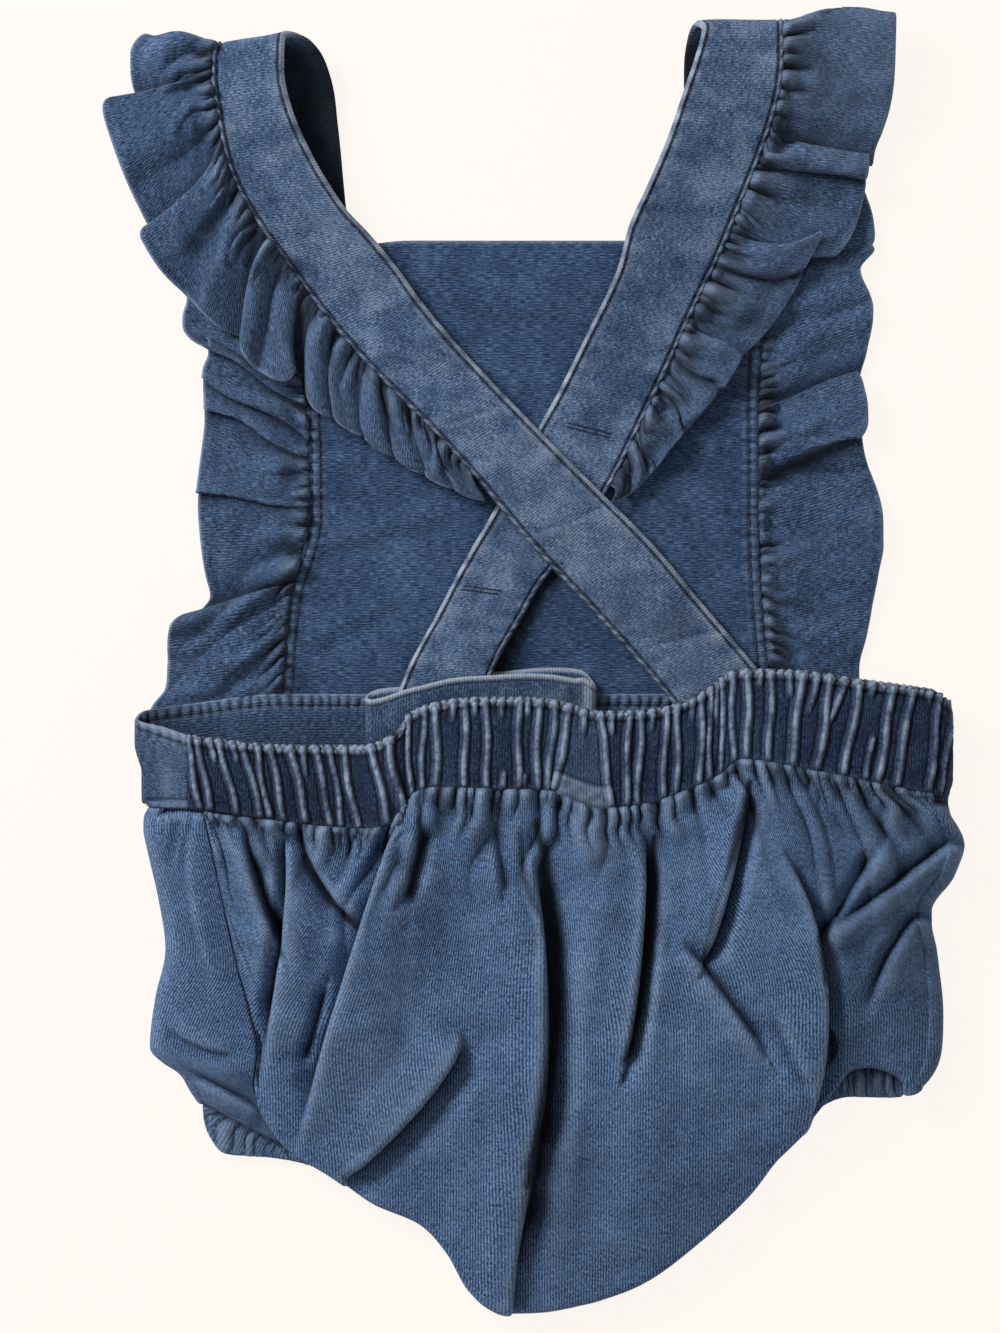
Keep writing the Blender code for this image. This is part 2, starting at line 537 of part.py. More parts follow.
def softened(values, passes):
    """Average a grid of values with its neighbours, a few times over."""
    for _ in range(passes):
        for axis in (0, 1):
            swapped = np.swapaxes(values, 0, axis)
            padded = np.concatenate((swapped[:1], swapped, swapped[-1:]))
            values = np.swapaxes((padded[:-2] + 2 * padded[1:-1] + padded[2:]) / 4, 0, axis)
    return values


def seat_columns(share):
    """Top and foot of the seat's columns at shares of the width up to the turn."""
    count = len(SEAT_COLUMNS["top_x"])
    row = share / SEAT_TURN * (count - 1)
    return {key: smooth_through(np.arange(count), SEAT_COLUMNS[key], row) for key in SEAT_COLUMNS}


def seat_middle(across, down):
    """Middle surface of the seat at shares across and down, folds included."""
    flat_across = np.minimum(across, SEAT_TURN)
    column = seat_columns(flat_across)
    top = {key: BACK_WAIST[key][:UPPER_WAIST_ROWS] for key in BACK_WAIST}
    beside = [smooth_through(top["x"], top["bottom"], column["top_x"] + shift)
              for shift in (-GATHER_REACH, 0, GATHER_REACH)]
    top_y = np.min(beside, axis=0) - SEAM_GAP
    waist_z = smooth_through(top["x"], top["height"], column["top_x"])
    straight = np.minimum(down / SEAT_ROLL, 1)[:, None]
    reach = np.hypot(column["foot_x"] - column["top_x"], column["foot_y"] - top_y)
    in_x = (column["top_x"] - column["foot_x"]) / reach
    in_y = (top_y - column["foot_y"]) / reach

    # Height of the laid cloth before its edges roll under.
    rise = smooth_through(SEAT_RISE["v"], SEAT_RISE["height"], straight)
    z = waist_z + (rise - waist_z) * ease(straight, 0.0, 0.3)
    z = SIDE_SEAM_HEIGHT + (z - SIDE_SEAM_HEIGHT) * ease(flat_across, 0.0, 0.1)
    edge_z = SIDE_TOP_HEIGHT + (SIDE_FOOT_HEIGHT - SIDE_TOP_HEIGHT) * straight
    z = z + (edge_z - z) * ease(flat_across, SEAT_TURN - 0.14, SEAT_TURN)

    stop_x = column["foot_x"] + in_x * SEAT_RIM
    stop_y = column["foot_y"] + in_y * SEAT_RIM
    x = column["top_x"] + (stop_x - column["top_x"]) * straight
    y = top_y + (stop_y - top_y) * straight
    seam_pull = (1 - ease(flat_across, 0.0, 0.12)) * (smooth_through(SIDE_SEAM["y"], SIDE_SEAM["x"], y) - x)
    x = x + seam_pull
    edge_x = smooth_through(RIGHT_OUTLINE["y"], RIGHT_OUTLINE["x"], y) - SIDE_TURN
    near_edge = ease(flat_across, SEAT_TURN - 0.16, SEAT_TURN) * ease(straight, 0.0, 0.1)
    x = x + near_edge * (edge_x - x) * (1 - straight ** 6)

    z = z + softened(fold_field(SEAT_FOLDS, x, y), FOLD_SOFTENING) * ease(flat_across, 0.0, 0.05)
    z = np.maximum(z, SEAT_LOWEST)
    return x, y, z, column, in_x, in_y


def seat():
    """Back panel: gathered into the waistband, puffed out and rolled under at its foot."""
    across = np.r_[np.linspace(0, SEAT_TURN, 2 * WAIST_GATHERS - 3), np.linspace(SEAT_TURN, 1, 6)[1:]]
    down = np.r_[np.linspace(0, SEAT_ROLL, 24), np.linspace(SEAT_ROLL, 1, 5)[1:]]
    x, y, z, column, in_x, in_y = seat_middle(across, down)

    gather = np.where(np.arange(len(across)) % 2 == 0, 1.0, -1.0) * GATHER_DEPTH
    gather[0] = 0
    gather[-5:] = 0
    z = z + gather * (1 - ease(down, 0.02, 0.2))[:, None]

    # Foot: the last rows turn half round inwards and under.
    roll = np.clip((down - SEAT_ROLL) / (1 - SEAT_ROLL), 0, 1)[:, None]
    angle = roll * np.pi
    foot_x = column["foot_x"]
    in_crotch = (ease(foot_x, CROTCH[0] - CROTCH_EASE, CROTCH[0])
                 * (1 - ease(foot_x, CROTCH[1], CROTCH[1] + CROTCH_EASE)))
    under = UNDER_HEIGHT + (SINGLE / 2 - UNDER_HEIGHT) * in_crotch
    under = under + FOOT_LIFT * (1 - ease(across, 0.02, 0.14))
    start_z = z[down <= SEAT_ROLL + 1e-9][-1]
    turn = np.where(across > SEAT_TURN - 0.004, 0.0, 1.0)
    drop = (start_z - under) / 2
    out = SEAT_RIM * np.sin(angle)
    back = SEAT_TUCK * ease(roll, 0.5, 1.0)
    rolled = roll > 0
    x = np.where(rolled, x - in_x * (out - back) * turn, x)
    y = np.where(rolled, y - in_y * (out - back) * turn - (1 - turn) * roll * CORNER_RUN, y)
    z = np.where(rolled, start_z - drop * (1 - np.cos(angle)) * turn, z)

    # Right side: the last columns turn half round down to the surface.
    turned = np.clip((across - SEAT_TURN) / (1 - SEAT_TURN), 0, 1) * np.pi
    radius = (z - SINGLE / 2) / 2
    x = x + SIDE_TURN * np.sin(turned)
    y = y - SIDE_DROP * ease(turned, 0.0, 1.2)
    z = np.where(turned > 0, SINGLE / 2 + radius * (1 + np.cos(turned)), z)
    return cloth_wall("back_panel", stack(x, y, z), SINGLE, DENIM)


def front_panel():
    """Front panel, flat on the surface and turned up round the left side to its seam."""
    count = len(FRONT_COLUMNS["top_x"])
    row = np.linspace(0, count - 1, 18)
    column = {key: smooth_through(np.arange(count), FRONT_COLUMNS[key], row) for key in FRONT_COLUMNS}
    down = np.linspace(0, 1, 13)[:, None]
    y = column["top_y"] + (column["foot_y"] - column["top_y"]) * down
    x = column["top_x"] + (column["foot_x"] - column["top_x"]) * down
    right_limit = smooth_through(RIGHT_OUTLINE["y"], RIGHT_OUTLINE["x"], y) - FRONT_INSET
    x = x + ease(-row, -1.5, 0.0) * ease(down, 0.0, 0.2) * (right_limit - x)
    flat = stack(x, y, SINGLE / 2)

    # Left side: half a turn round the outline, then flat to the seam on top.
    radius = (SIDE_SEAM_HEIGHT - SINGLE / 2) / 2
    side_y = SIDE_TOP + (SIDE_FOOT - SIDE_TOP) * down
    outline = smooth_through(LEFT_OUTLINE["y"], LEFT_OUTLINE["x"], side_y)
    angle = np.linspace(0, np.pi, 7)
    turn = stack(outline + radius * (1 - np.sin(angle)), side_y,
                 SINGLE / 2 + radius * (1 - np.cos(angle)))
    seam = smooth_through(SIDE_SEAM["y"], SIDE_SEAM["x"], side_y) - SIDE_SEAM_GAP
    share = np.linspace(0, 1, 5)[1:]
    start = outline + radius
    top = stack(start + (seam - start) * share, side_y,
                SIDE_SEAM_HEIGHT + SIDE_CAMBER * np.sin(np.pi * share))
    return cloth_wall("front_panel", np.concatenate((flat, turn, top), axis=1), SINGLE, DENIM)


def leg_binding(name, rows):
    """Elastic binding on the front edge of a leg opening, with its gathers."""
    along = arc_lengths(rows["inner_x"], rows["inner_y"])
    at = np.linspace(0, along[-1], 2 * LEG_GATHERS + 1)
    value = {key: smooth_through(along, rows[key], at) for key in rows}
    down = np.linspace(0, 1, 4)[:, None]
    wave = np.where(np.arange(len(at)) % 2 == 0, 0.0, BINDING_WAVE)
    x = value["inner_x"] + (value["outer_x"] - value["inner_x"]) * down
    y = value["inner_y"] + (value["outer_y"] - value["inner_y"]) * down
    return cloth_wall(name, stack(x, y, value["height"] + wave * down), BINDING_THICK, DENIM_DARK)


def strap_keeper():
    """Flattened loop behind the waistband that the right strap passes through."""
    x_start, x_end = KEEPER_TOP["x"][0], KEEPER_TOP["x"][-1]
    radius = (KEEPER_HIGH - KEEPER_LOW) / 2
    run = np.linspace(x_start + radius, x_end - radius, 9)
    angle = np.linspace(0, np.pi, 6)[1:-1]
    middle_z = (KEEPER_HIGH + KEEPER_LOW) / 2
    x = np.r_[run, x_end - radius + radius * np.sin(angle), run[::-1], x_start + radius - radius * np.sin(angle)]
    z = np.r_[np.full(9, KEEPER_HIGH), middle_z + radius * np.cos(angle),
              np.full(9, KEEPER_LOW), middle_z - radius * np.cos(angle)]
    top = smooth_through(KEEPER_TOP["x"], KEEPER_TOP["y"], x)
    down = np.linspace(0, 1, 3)[:, None]
    y = top - KEEPER_DEPTH * down
    return cloth_wall("strap_keeper", stack(x, y, z), SINGLE, DENIM_PALE, closed=True)


def ruffle_seam(strap_rows, bib_side, outwards):
    """Seam line of a ruffle: up the bib's side, then along the strap's outer edge."""
    height = np.array((-8.2, 18.5, 41.5, 60.0, 76.5, 96.5))
    side_x = smooth_through(BIB_SIDES["y"], BIB_SIDES[bib_side], height) + outwards * SEAM_GAP
    side = np.stack((side_x, height, np.full(len(height), SINGLE / 2)), axis=1)
    outer, inner = strap_sections(strap_rows, 200)
    across = outer - inner
    edge = outer + across / np.linalg.norm(across, axis=1, keepdims=True) * SEAM_GAP
    edge[:, 2] = np.maximum(edge[:, 2] - RUFFLE_SEAM_DROP, SINGLE / 2)
    return np.concatenate((side, edge))


def ruffle(name, strap_rows, bib_side, outwards, lobes, end):
    """One ruffle strip: seam gathers that feed shingled lobes along its hem."""
    seam = ruffle_seam(strap_rows, bib_side, outwards)
    seam_at = arc_lengths(*seam.T)
    stops = np.r_[lobes["along"], end]
    at, hem, lift = [], [], []
    for i, gathers in enumerate(lobes["gathers"]):
        steps = max(int(2 * gathers), 2)
        share = np.arange(steps) / (steps - 1)
        at.append(stops[i] + (stops[i + 1] - stops[i]) * share * RUFFLE_TUCK)
        ridge = np.array([lobes["ridge_" + axis][i] for axis in "xyz"])
        tail = np.array([lobes["tail_" + axis][i] for axis in "xyz"])
        fall = np.stack((share, share, 1 - (1 - share) ** 1.4), axis=1)
        hem.append(ridge + (tail - ridge) * fall)
        lift.append((1 - share) ** 2 * RUFFLE_CURL * (ridge[2] - tail[2]))
    at = np.concatenate(at)
    hem = np.concatenate(hem)
    lift = np.concatenate(lift)
    root = np.stack([np.interp(at, seam_at, seam[:, k]) for k in range(3)], axis=1)
    spread = np.array(RUFFLE_SPREAD)[:, None, None]
    middle = root + (hem - root) * spread
    gather = np.where(np.arange(len(at)) % 2 == 0, 1.0, -1.0) * RUFFLE_GATHER
    flat_spread = spread[:, :, 0]
    middle[..., 2] += gather * (1 - ease(flat_spread, 0.1, 0.5)) * ease(root[:, 2], 0.5, 2.0)
    middle[..., 2] += np.maximum(gather, 0) * (1 - ease(flat_spread, 0.1, 0.5)) * (root[:, 2] < 1.0)
    middle[..., 2] += lift * 4 * flat_spread * (1 - flat_spread)
    if outwards > 0:
        middle = middle[:, ::-1]
    return cloth_wall(name, middle, SINGLE, DENIM_DARK)


def build():
    """Clear the scene and make every piece."""
    for old in list(bpy.data.objects):
        bpy.data.objects.remove(old, do_unlink=True)
    bib()
    front_waistband()
    front_panel()
    seat()
    back_waistband()
    strap("strap_left", STRAP_LEFT, True)
    strap("strap_right", STRAP_RIGHT, False)
    strap_keeper()
    ruffle("ruffle_left", STRAP_LEFT, "left", -1, RUFFLE_LEFT, RUFFLE_LEFT_END)
    ruffle("ruffle_right", STRAP_RIGHT, "right", 1, RUFFLE_RIGHT, RUFFLE_RIGHT_END)
    leg_binding("leg_binding_left", BINDING_LEFT)
    leg_binding("leg_binding_right", BINDING_RIGHT)


build()
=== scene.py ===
"""Dresses the laid baby romper in washed knit denim.

Every sewn piece is a thin shell of cloth worked out from the tables below, with its
creases, gathers, ribs and topstitched edges.  Lengths in the tables are millimetres;
+Y runs towards the shoulders and +Z up off the surface that the romper lies on.
"""

import math

import bpy
import numpy as np
from bpy.props import FloatProperty, FloatVectorProperty, PointerProperty
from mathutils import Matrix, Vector


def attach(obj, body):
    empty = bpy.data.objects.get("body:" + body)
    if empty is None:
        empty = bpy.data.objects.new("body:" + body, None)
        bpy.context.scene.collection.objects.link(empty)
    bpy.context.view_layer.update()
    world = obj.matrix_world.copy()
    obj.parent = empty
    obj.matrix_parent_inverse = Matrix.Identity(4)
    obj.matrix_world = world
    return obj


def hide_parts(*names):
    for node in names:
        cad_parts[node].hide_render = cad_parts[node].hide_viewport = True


bl_info = {
    "name": "Baby romper dresser",
    "version": (1, 0, 0),
    "blender": (4, 5, 0),
    "location": "View3D > Sidebar > Romper",
    "description": "Builds the cloth, gathers, ribs and stitches of a laid baby romper",
    "category": "Object",
}

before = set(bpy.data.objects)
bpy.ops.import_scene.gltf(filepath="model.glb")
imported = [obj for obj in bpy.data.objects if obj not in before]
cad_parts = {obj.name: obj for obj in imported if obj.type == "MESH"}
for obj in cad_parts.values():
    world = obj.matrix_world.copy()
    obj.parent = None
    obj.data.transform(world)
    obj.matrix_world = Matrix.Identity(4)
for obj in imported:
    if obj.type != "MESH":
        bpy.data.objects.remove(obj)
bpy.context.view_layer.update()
MM = 0.001

SINGLE = 1.2          # one layer of knit denim in the solids, whose middle the cloth follows
SEAM_LAP = 0.5        # how far a ruffle's seam lies inside the edge that it is sewn to
KEEPER_DEPTH = 18.0   # how far the strap keeper hangs down
BINDING_THICK = 1.0   # thickness of the leg openings' edges
LOWEST_POINT = 0.02   # no point of the cloth comes nearer the surface than this

# Points of each piece's grid: across or along it first, then down it.
BIB_GRID = (96, 168)
STRAP_SECTIONS = 480
SEAM_SECTIONS = 200
FRONT_WAIST_GRID = (380, 34)
BACK_WAIST_GRID = (1000, 34)
SEAT_GRID = (330, 122)
SEAT_TURN_STEPS = 13   # points across each turned edge of the seat
FRONT_GRID = (66, 110)
SIDE_STEPS = 40        # points across the front panel's turned-up side
ARC_STEPS = 18         # points round a half turn of cloth
KEEPER_RUN = 110
BINDING_GRID = (240, 18)
RUFFLE_ACROSS = 40
BUTTONHOLE_POINTS = 12


def table(columns, rows):
    """Give a table's columns by name."""
    return dict(zip(columns.split(), np.array(rows, dtype=float).T))


# A crease is a curve from start over bend to end.  On the left of its run the
# cloth rises to a ridge, on the right it dips, each over its own width, and the ridge
# leans over the dip.
CREASE_COLUMNS = "x0 y0 x1 y1 x2 y2 ridge dip ridge_width dip_width lean"

# Bib: its two side seams at each height, and its top edge across.
BIB_SIDES = table("y left right", (
    (-8.5, -74, 69.5), (18.5, -71.5, 67), (41.5, -65.5, 66), (76.5, -66.5, 66), (96.5, -71, 67),
    (123, -75.5, 68)))
BIB_TOP = table("x y", (
    (-77, 115.3), (-53.5, 120.8), (-36, 123), (30, 123), (45, 121.6), (69, 118.2)))

# Soft creases pressed into the bib.
BIB_CREASES = table(CREASE_COLUMNS, (
    (-68, 30, -42, 38, -18, 44, 0.5, 0.5, 9, 8, 0), (-66, 3, -50, 12, -32, 20, 0.5, 0.5, 9, 8, 0),
    (-40, 74, -52, 62, -70, 56, 0.4, 0.4, 10, 8, 0), (64, 42, 52, 52, 30, 58, 0.45, 0.45, 9, 8, 0),
    (-36, 108, -10, 101, 14, 104, 0.4, 0.4, 12, 9, 0), (60, 8, 50, 22, 44, 40, 0.4, 0.4, 9, 8, 0)))

# Straps: sections from the bib's top corner, over the shoulder fold and down the back.
STRAP_COLUMNS = "outer_x outer_y inner_x inner_y height"
STRAP_LEFT = table(STRAP_COLUMNS, (
    (-76, 116.5, -53.5, 121.5, 1.2), (-80.5, 134.5, -55, 135.5, 1.2), (-84, 154.5, -57, 156, 1.4),
    (-87.5, 168.5, -59, 170, 3.2), (-90, 174.5, -62.5, 178, 5.8), (-91.5, 178, -67.5, 181.5, 9),
    (-92.5, 175.5, -71.5, 181, 11.8), (-93, 169, -72, 171.5, 12.6),
    (-91.5, 157.5, -70, 160.5, 12.2), (-88.5, 143.5, -64, 146.5, 11), (-82.5, 131, -55, 132, 9),
    (-73, 117, -47.5, 124, 7), (-64.5, 105.5, -39.5, 114.5, 5.4), (-55, 93.5, -33, 105.5, 4.6),
    (-43, 80.5, -23, 93.5, 4.4), (-30, 67.5, -10.5, 80, 5), (-16, 52, 4, 65, 5.6),
    (-1, 34, 19, 50, 5.6), (13.5, 18.5, 35, 34, 4.4), (25, 6, 48, 18.5, 3.9),
    (39, -10.5, 64, -0.5, 5), (46, -20, 72, -10.5, 5.8)))
STRAP_RIGHT = table(STRAP_COLUMNS, (
    (68.5, 119, 44.5, 122.5, 1.2), (69, 137, 44.5, 137, 1.2), (70, 157.5, 44, 157.5, 1.4),
    (71.5, 171.5, 43.5, 171.5, 3.2), (72, 180, 44, 179, 5.8), (72, 184.5, 46, 184.5, 9),
    (72, 182.5, 48.2, 182.5, 11.8), (72, 175, 46.4, 175, 12.6), (71, 164.5, 43.2, 165.5, 12.2),
    (66.5, 149, 38.2, 151, 11), (59.5, 131, 32.4, 137.5, 9), (53.5, 116.5, 27.4, 126.5, 7),
    (47.5, 104, 24, 114, 5.2), (40, 87.5, 14.5, 94, 4), (32, 70.5, 6, 77, 3),
    (23, 52.5, -4, 59.5, 2.6), (12, 34, -12, 44, 2.6), (3, 24, -21, 28.5, 2.6),
    (-4, 12, -28.5, 14, 3.4), (-10.5, 0.5, -36.5, -1, 5.2), (-14.5, -10.5, -41, -13.5, 5.2),
    (-17, -21, -43, -23, 5.2)))

# Creases pressed into the straps.
STRAP_CREASES = table(CREASE_COLUMNS, (
    (-64, 146.5, -73, 151.5, -80, 161, 0.35, 0.5, 4, 2, 0),
    (22, 46, 9, 40, -2, 37, 0.3, 0.4, 4, 2, 0), (58, 9, 42.3, 6.7, 26.4, 1, 0.3, 0.4, 4, 2, 0),
    (-11.3, 73.4, -18, 71, -26, 68.5, 0.3, 0.4, 3, 2, 0),
    (-54, 110, -48, 104, -38, 102, 0.3, 0.35, 4, 2, 0),
    (-9.3, 35, -16.5, 18, -23, 0.5, 0.3, 0.4, 3, 2, 0)))

# Buttonholes of the right strap: height on the back run, and the shares of the strap's
# width that the slit runs from and to.
BUTTONHOLES = table("y start end", (
    (68.5, 0.3, 0.7), (21, 0.45, 0.81)))

# Waistbands: top and bottom edge and height along X.
WAIST_COLUMNS = "x top bottom height"
FRONT_WAIST = table(WAIST_COLUMNS, (
    (114, -10.5, -37, 1), (70, -9, -35, 1), (0, -9, -35, 1), (-74, -9, -35, 1),
    (-98, -11.6, -37.5, 1), (-111, -13.4, -39.8, 1), (-114.4, -14.2, -40.9, 2.4),
    (-115.4, -15, -41.4, 4.7), (-114.4, -15.8, -41.8, 7), (-111, -17, -42, 8.3),
    (-99.8, -21, -42, 8.5)))
BACK_WAIST = table(WAIST_COLUMNS, (
    (-100, -21, -42, 8.5), (-85.5, -23, -44, 8), (-68, -24, -46.5, 8), (-50.5, -24, -48, 10.4),
    (-41, -21, -46, 12.6), (-36.5, -15.5, -39.5, 10.6), (-27.5, -11.5, -36, 12.6),
    (-10, -10, -36.5, 14.2), (4.5, -10.5, -37, 14.2), (19, -14, -42, 12.5),
    (33.5, -13.5, -40.5, 10.5), (45, -10.5, -36.5, 9.5), (53.5, -5.5, -32.5, 9.2),
    (59.5, -2, -28, 12.5), (77, -2.5, -30.5, 13.5), (94.5, -5, -34, 13), (109, -7, -37, 12),
    (117, -8.2, -38.3, 9.8), (120.3, -8.8, -39, 6), (118.5, -9.2, -39.2, 2.6),
    (114.6, -9.4, -39.3, 1.7)))
UPPER_WAIST_ROWS = 18

# Shirring of the back waistband: where each rib starts and ends across, the shares of
# the band's depth that it runs from and to, and its half width.
RIBS = table("top_x foot_x start stop width", (
    (-100.4, -96.4, 0, 1, 0.95), (-97.4, -93.3, 0, 1, 1.05), (-94.1, -88.7, 0, 0.35, 0.8),
    (-91.2, -85.5, 0, 1, 1.05), (-87.6, -81.8, 0, 0.3, 0.8), (-84.2, -78.5, 0, 1, 1.1),
    (-80.3, -76.3, 0, 1, 0.75), (-76.4, -71.8, 0, 1, 1.15), (-70.5, -65.1, 0, 1, 1.4),
    (-67.1, -62.6, 0, 0.4, 0.8), (-63.2, -58.1, 0, 1, 1.15), (-58.6, -54.8, 0, 1, 0.8),
    (-55.2, -50.3, 0, 1, 1.2), (-46.4, -41.8, 0, 1, 1.1), (-41.8, -38.9, 0, 1, 1.1),
    (-36.6, -35.4, 0, 1, 1), (-31.1, -31.9, 0, 1, 0.75), (-27.8, -27.8, 0, 1, 1.25),
    (-23.1, -23.1, 0, 0.25, 0.9), (-19.7, -19.7, 0, 1, 1.2), (-17.2, -16.8, 0, 0.2, 0.8),
    (-13.8, -13.3, 0, 1, 1.1), (-9.1, -8.8, 0, 0.25, 0.9), (-9.1, -8.8, 0.8, 1, 0.8),
    (-4.2, -4.7, 0, 1, 1.2), (-1.6, -2.3, 0, 0.22, 0.9), (-1.6, -2.6, 0.82, 1, 0.8),
    (1.2, 0.7, 0, 1, 1.25), (5.9, 3.8, 0, 1, 1.1), (10.3, 5.4, 0, 1, 1.1),
    (13.6, 13.9, 0, 0.3, 0.9), (18.6, 22.2, 0, 1, 1), (22.4, 22.4, 0, 0.25, 0.8),
    (27.1, 26.1, 0, 1, 1.1), (30.7, 29.4, 0, 1, 1.15), (33.9, 33.9, 0, 0.25, 0.9),
    (38, 36.9, 0, 1, 1.05), (41.4, 40.8, 0, 1, 1.1), (45.4, 45.4, 0, 0.25, 0.8),
    (48.5, 47.7, 0, 1, 1.1), (50.8, 50.3, 0, 1, 0.8), (52.8, 52.8, 0, 0.4, 0.8),
    (55.1, 54.5, 0, 1, 1), (57.7, 58, 0, 1, 0.7), (61.7, 61.5, 0, 1, 1.4),
    (65.2, 64.4, 0, 0.2, 0.8), (68.3, 67.5, 0, 1, 1.25), (73.8, 72.8, 0, 0.3, 0.9),
    (76.9, 73.8, 0, 1, 1.5), (81.5, 73.9, 0, 0.42, 0.9), (85.3, 81.2, 0, 1, 1.45),
    (89.3, 80.3, 0, 0.5, 1), (93.6, 88.7, 0, 1, 1.3), (97.8, 92.2, 0, 0.18, 0.9),
    (100, 95.1, 0.55, 1, 0.7), (103.3, 98.4, 0, 1, 1.25), (108.7, 103.6, 0, 1, 1.2),
    (113.3, 109.6, 0, 0.15, 0.9), (116.2, 113, 0, 1, 1.05), (119.1, 116.8, 0, 1, 0.8)))
TAB_FOOT = (5.4, 22.2)   # stitched foot of the flat pleat in the middle

# Seat (back panel): a column of cloth from the waistband to the leg or crotch edge.
SEAT_COLUMNS = table("top_x foot_x foot_y", (
    (-95.5, -80, -122.5), (-87, -77, -130), (-76, -71, -140.5), (-60, -57, -149.5),
    (-44, -46.5, -156.5), (-31, -33, -162.5), (-20, -25, -171), (-10, -18.5, -182),
    (-1, -9, -188.8), (9, 4, -188), (19, 19, -184.5), (31, 33.5, -178.5), (42, 48, -167.5),
    (53, 61.5, -155), (64, 70.5, -143.5), (76, 80.5, -132.5), (85, 86.5, -124.5), (92, 91, -118.4),
    (98, 96, -117), (104, 100.5, -119.6), (109.5, 103.5, -124.4), (115.2, 105, -125.4)))
SEAT_RISE = table("v height", (
    (0, 12.6), (0.2, 13.5), (0.5, 14.2), (0.75, 12.8), (0.9, 10.4), (1, 8.2)))
RIGHT_OUTLINE = table("y x", (
    (-127, 105), (-125.4, 109), (-121.5, 113.6), (-116.5, 116.6), (-110, 118), (-100, 118.3),
    (-86, 117), (-70, 115), (-60, 121.5), (-51.5, 124.5), (-44, 121.5), (-39.5, 119.8)))
SIDE_SEAM = table("y x", (
    (-144, -70.5), (-139.8, -73.3), (-129.6, -79.3), (-122.5, -80.5), (-112, -79.2),
    (-100.5, -81.5), (-86, -85.5), (-68.5, -89.5), (-50, -93.5), (-42, -95.5)))
SIDE_SEAM_HEIGHT = 8.3
SIDE_SEAM_GAP = 0.5      # between the front panel's cloth and the seat's at the side seam
SIDE_TOP = -43.0         # where the side seam starts below the waistband
PANEL_TUCK = 2.6         # how far the front panel runs on under the waistband
# Foot of the panel's turned side: at its outline, half way and at the seam.
SIDE_FOOT = (-130.5, -136.0, -142.5)
SEAT_ROLL = 0.93         # share of the seat's depth at which its foot starts to roll under
SEAT_TURN = 0.93         # share of its width at which the right side turns down
UNDER_HEIGHT = 2.7       # height of the cloth that is rolled under
CROTCH = (-12.0, 13.0)   # where the crotch's flat edge runs from and to
CROTCH_EASE = 5.0
SEAT_RIM = 2.6           # how far the rolled foot stands out
SEAT_TUCK = 2.0          # how far its end is drawn back in
SIDE_TURN = 4.6          # how far the turned right side stands out
SIDE_DROP = 1.6
SIDE_TOP_HEIGHT = 10.5   # height of the right side, above and at the foot
SIDE_FOOT_HEIGHT = 8.5
SEAT_LOWEST = 2.4
FOOT_LIFT = 2.0          # how much higher the foot lies at the left seam
CORNER_RUN = 2.4
FRONT_INSET = 6.0        # how far the front panel stays inside the right outline

# Creases of the seat.
SEAT_CREASES = table(CREASE_COLUMNS, (
    (-2, -138, 2.9, -106, -2.4, -45, 1.2, 5.2, 15, 12, 1.2),
    (-5.6, -168, 2.4, -112, -2.4, -45, 0.8, 3.8, 15, 12, 0.8),
    (-8.6, -199, -5, -163, 1, -120, 2, 3, 14, 15, 1.6),
    (25.2, -116, 30, -80.3, 31, -44, 2, 8.5, 10, 7, 1.8),
    (-71.6, -50, -71.3, -77.4, -80, -127, 3, 5, 11, 7, 1.6),
    (-71.5, -85, -79.5, -67.3, -86, -46, 1, 5.5, 6, 6, 0.8),
    (-67, -46, -59.2, -64.4, -46, -77, 2.2, 4.5, 12, 9, 1),
    (-38, -46, -50.5, -82.4, -71, -150, 5, 3.5, 22, 9, 2.4),
    (-38, -68, -33.8, -57.1, -33.1, -42, 0.8, 5, 4, 5, 0.6),
    (-57, -150, -31.6, -124.4, -20, -104, 3.6, 3.6, 15, 12, 2.2),
    (-59.2, -93.4, -62.6, -106.4, -66.4, -117, 0.4, 4, 5, 5, 0.6),
    (-9.9, -66, -11, -57.1, -12.8, -44, 0.5, 3, 5, 6, 0.5),
    (16.8, -43, 19, -68.7, 16.2, -112, 3.2, -3.2, 9, 9, 0),
    (48, -86, 56, -62, 62.5, -28, 2, 6.5, 11, 7, 1.6),
    (66.5, -114, 51.6, -93.4, 40.6, -79.5, 1.5, 4, 10, 9, 1),
    (78, -135, 82.4, -91, 68, -48, 3, 5, 17, 8, 2.2),
    (99.5, -54, 90.2, -69.6, 80.5, -85, 1.5, 3.5, 7, 6, 0.6),
    (124, -50, 100.3, -67.5, 82.5, -80.5, 2.5, 3.6, 8, 7, 0.8),
    (113.5, -72.2, 104.1, -83.2, 95.5, -105, 1.6, 3, 8, 6, 0.8),
    (30.2, -84, 30.7, -120.9, 29, -165, 1.4, -1.4, 12, 10, 0),
    (70, -102, 74.6, -113, 79, -127, 1, 2, 7, 6, 0.5),
    (-27.3, -46, -22.9, -68.7, -18, -100, -1.8, 1.8, 9, 9, 0),
    (78.5, -30, 86, -40.5, 92, -52, 1, 1.6, 6, 5, 0.3),
    (95, -35, 100, -43, 103, -54, 0.8, 1.2, 6, 5, 0.3),
    (-50, -100, -44, -120, -47, -140, 0.8, -0.8, 9, 8, 0),
    (0, -110, 8, -140, 4, -178, 1.2, -1.2, 9, 10, 0)))

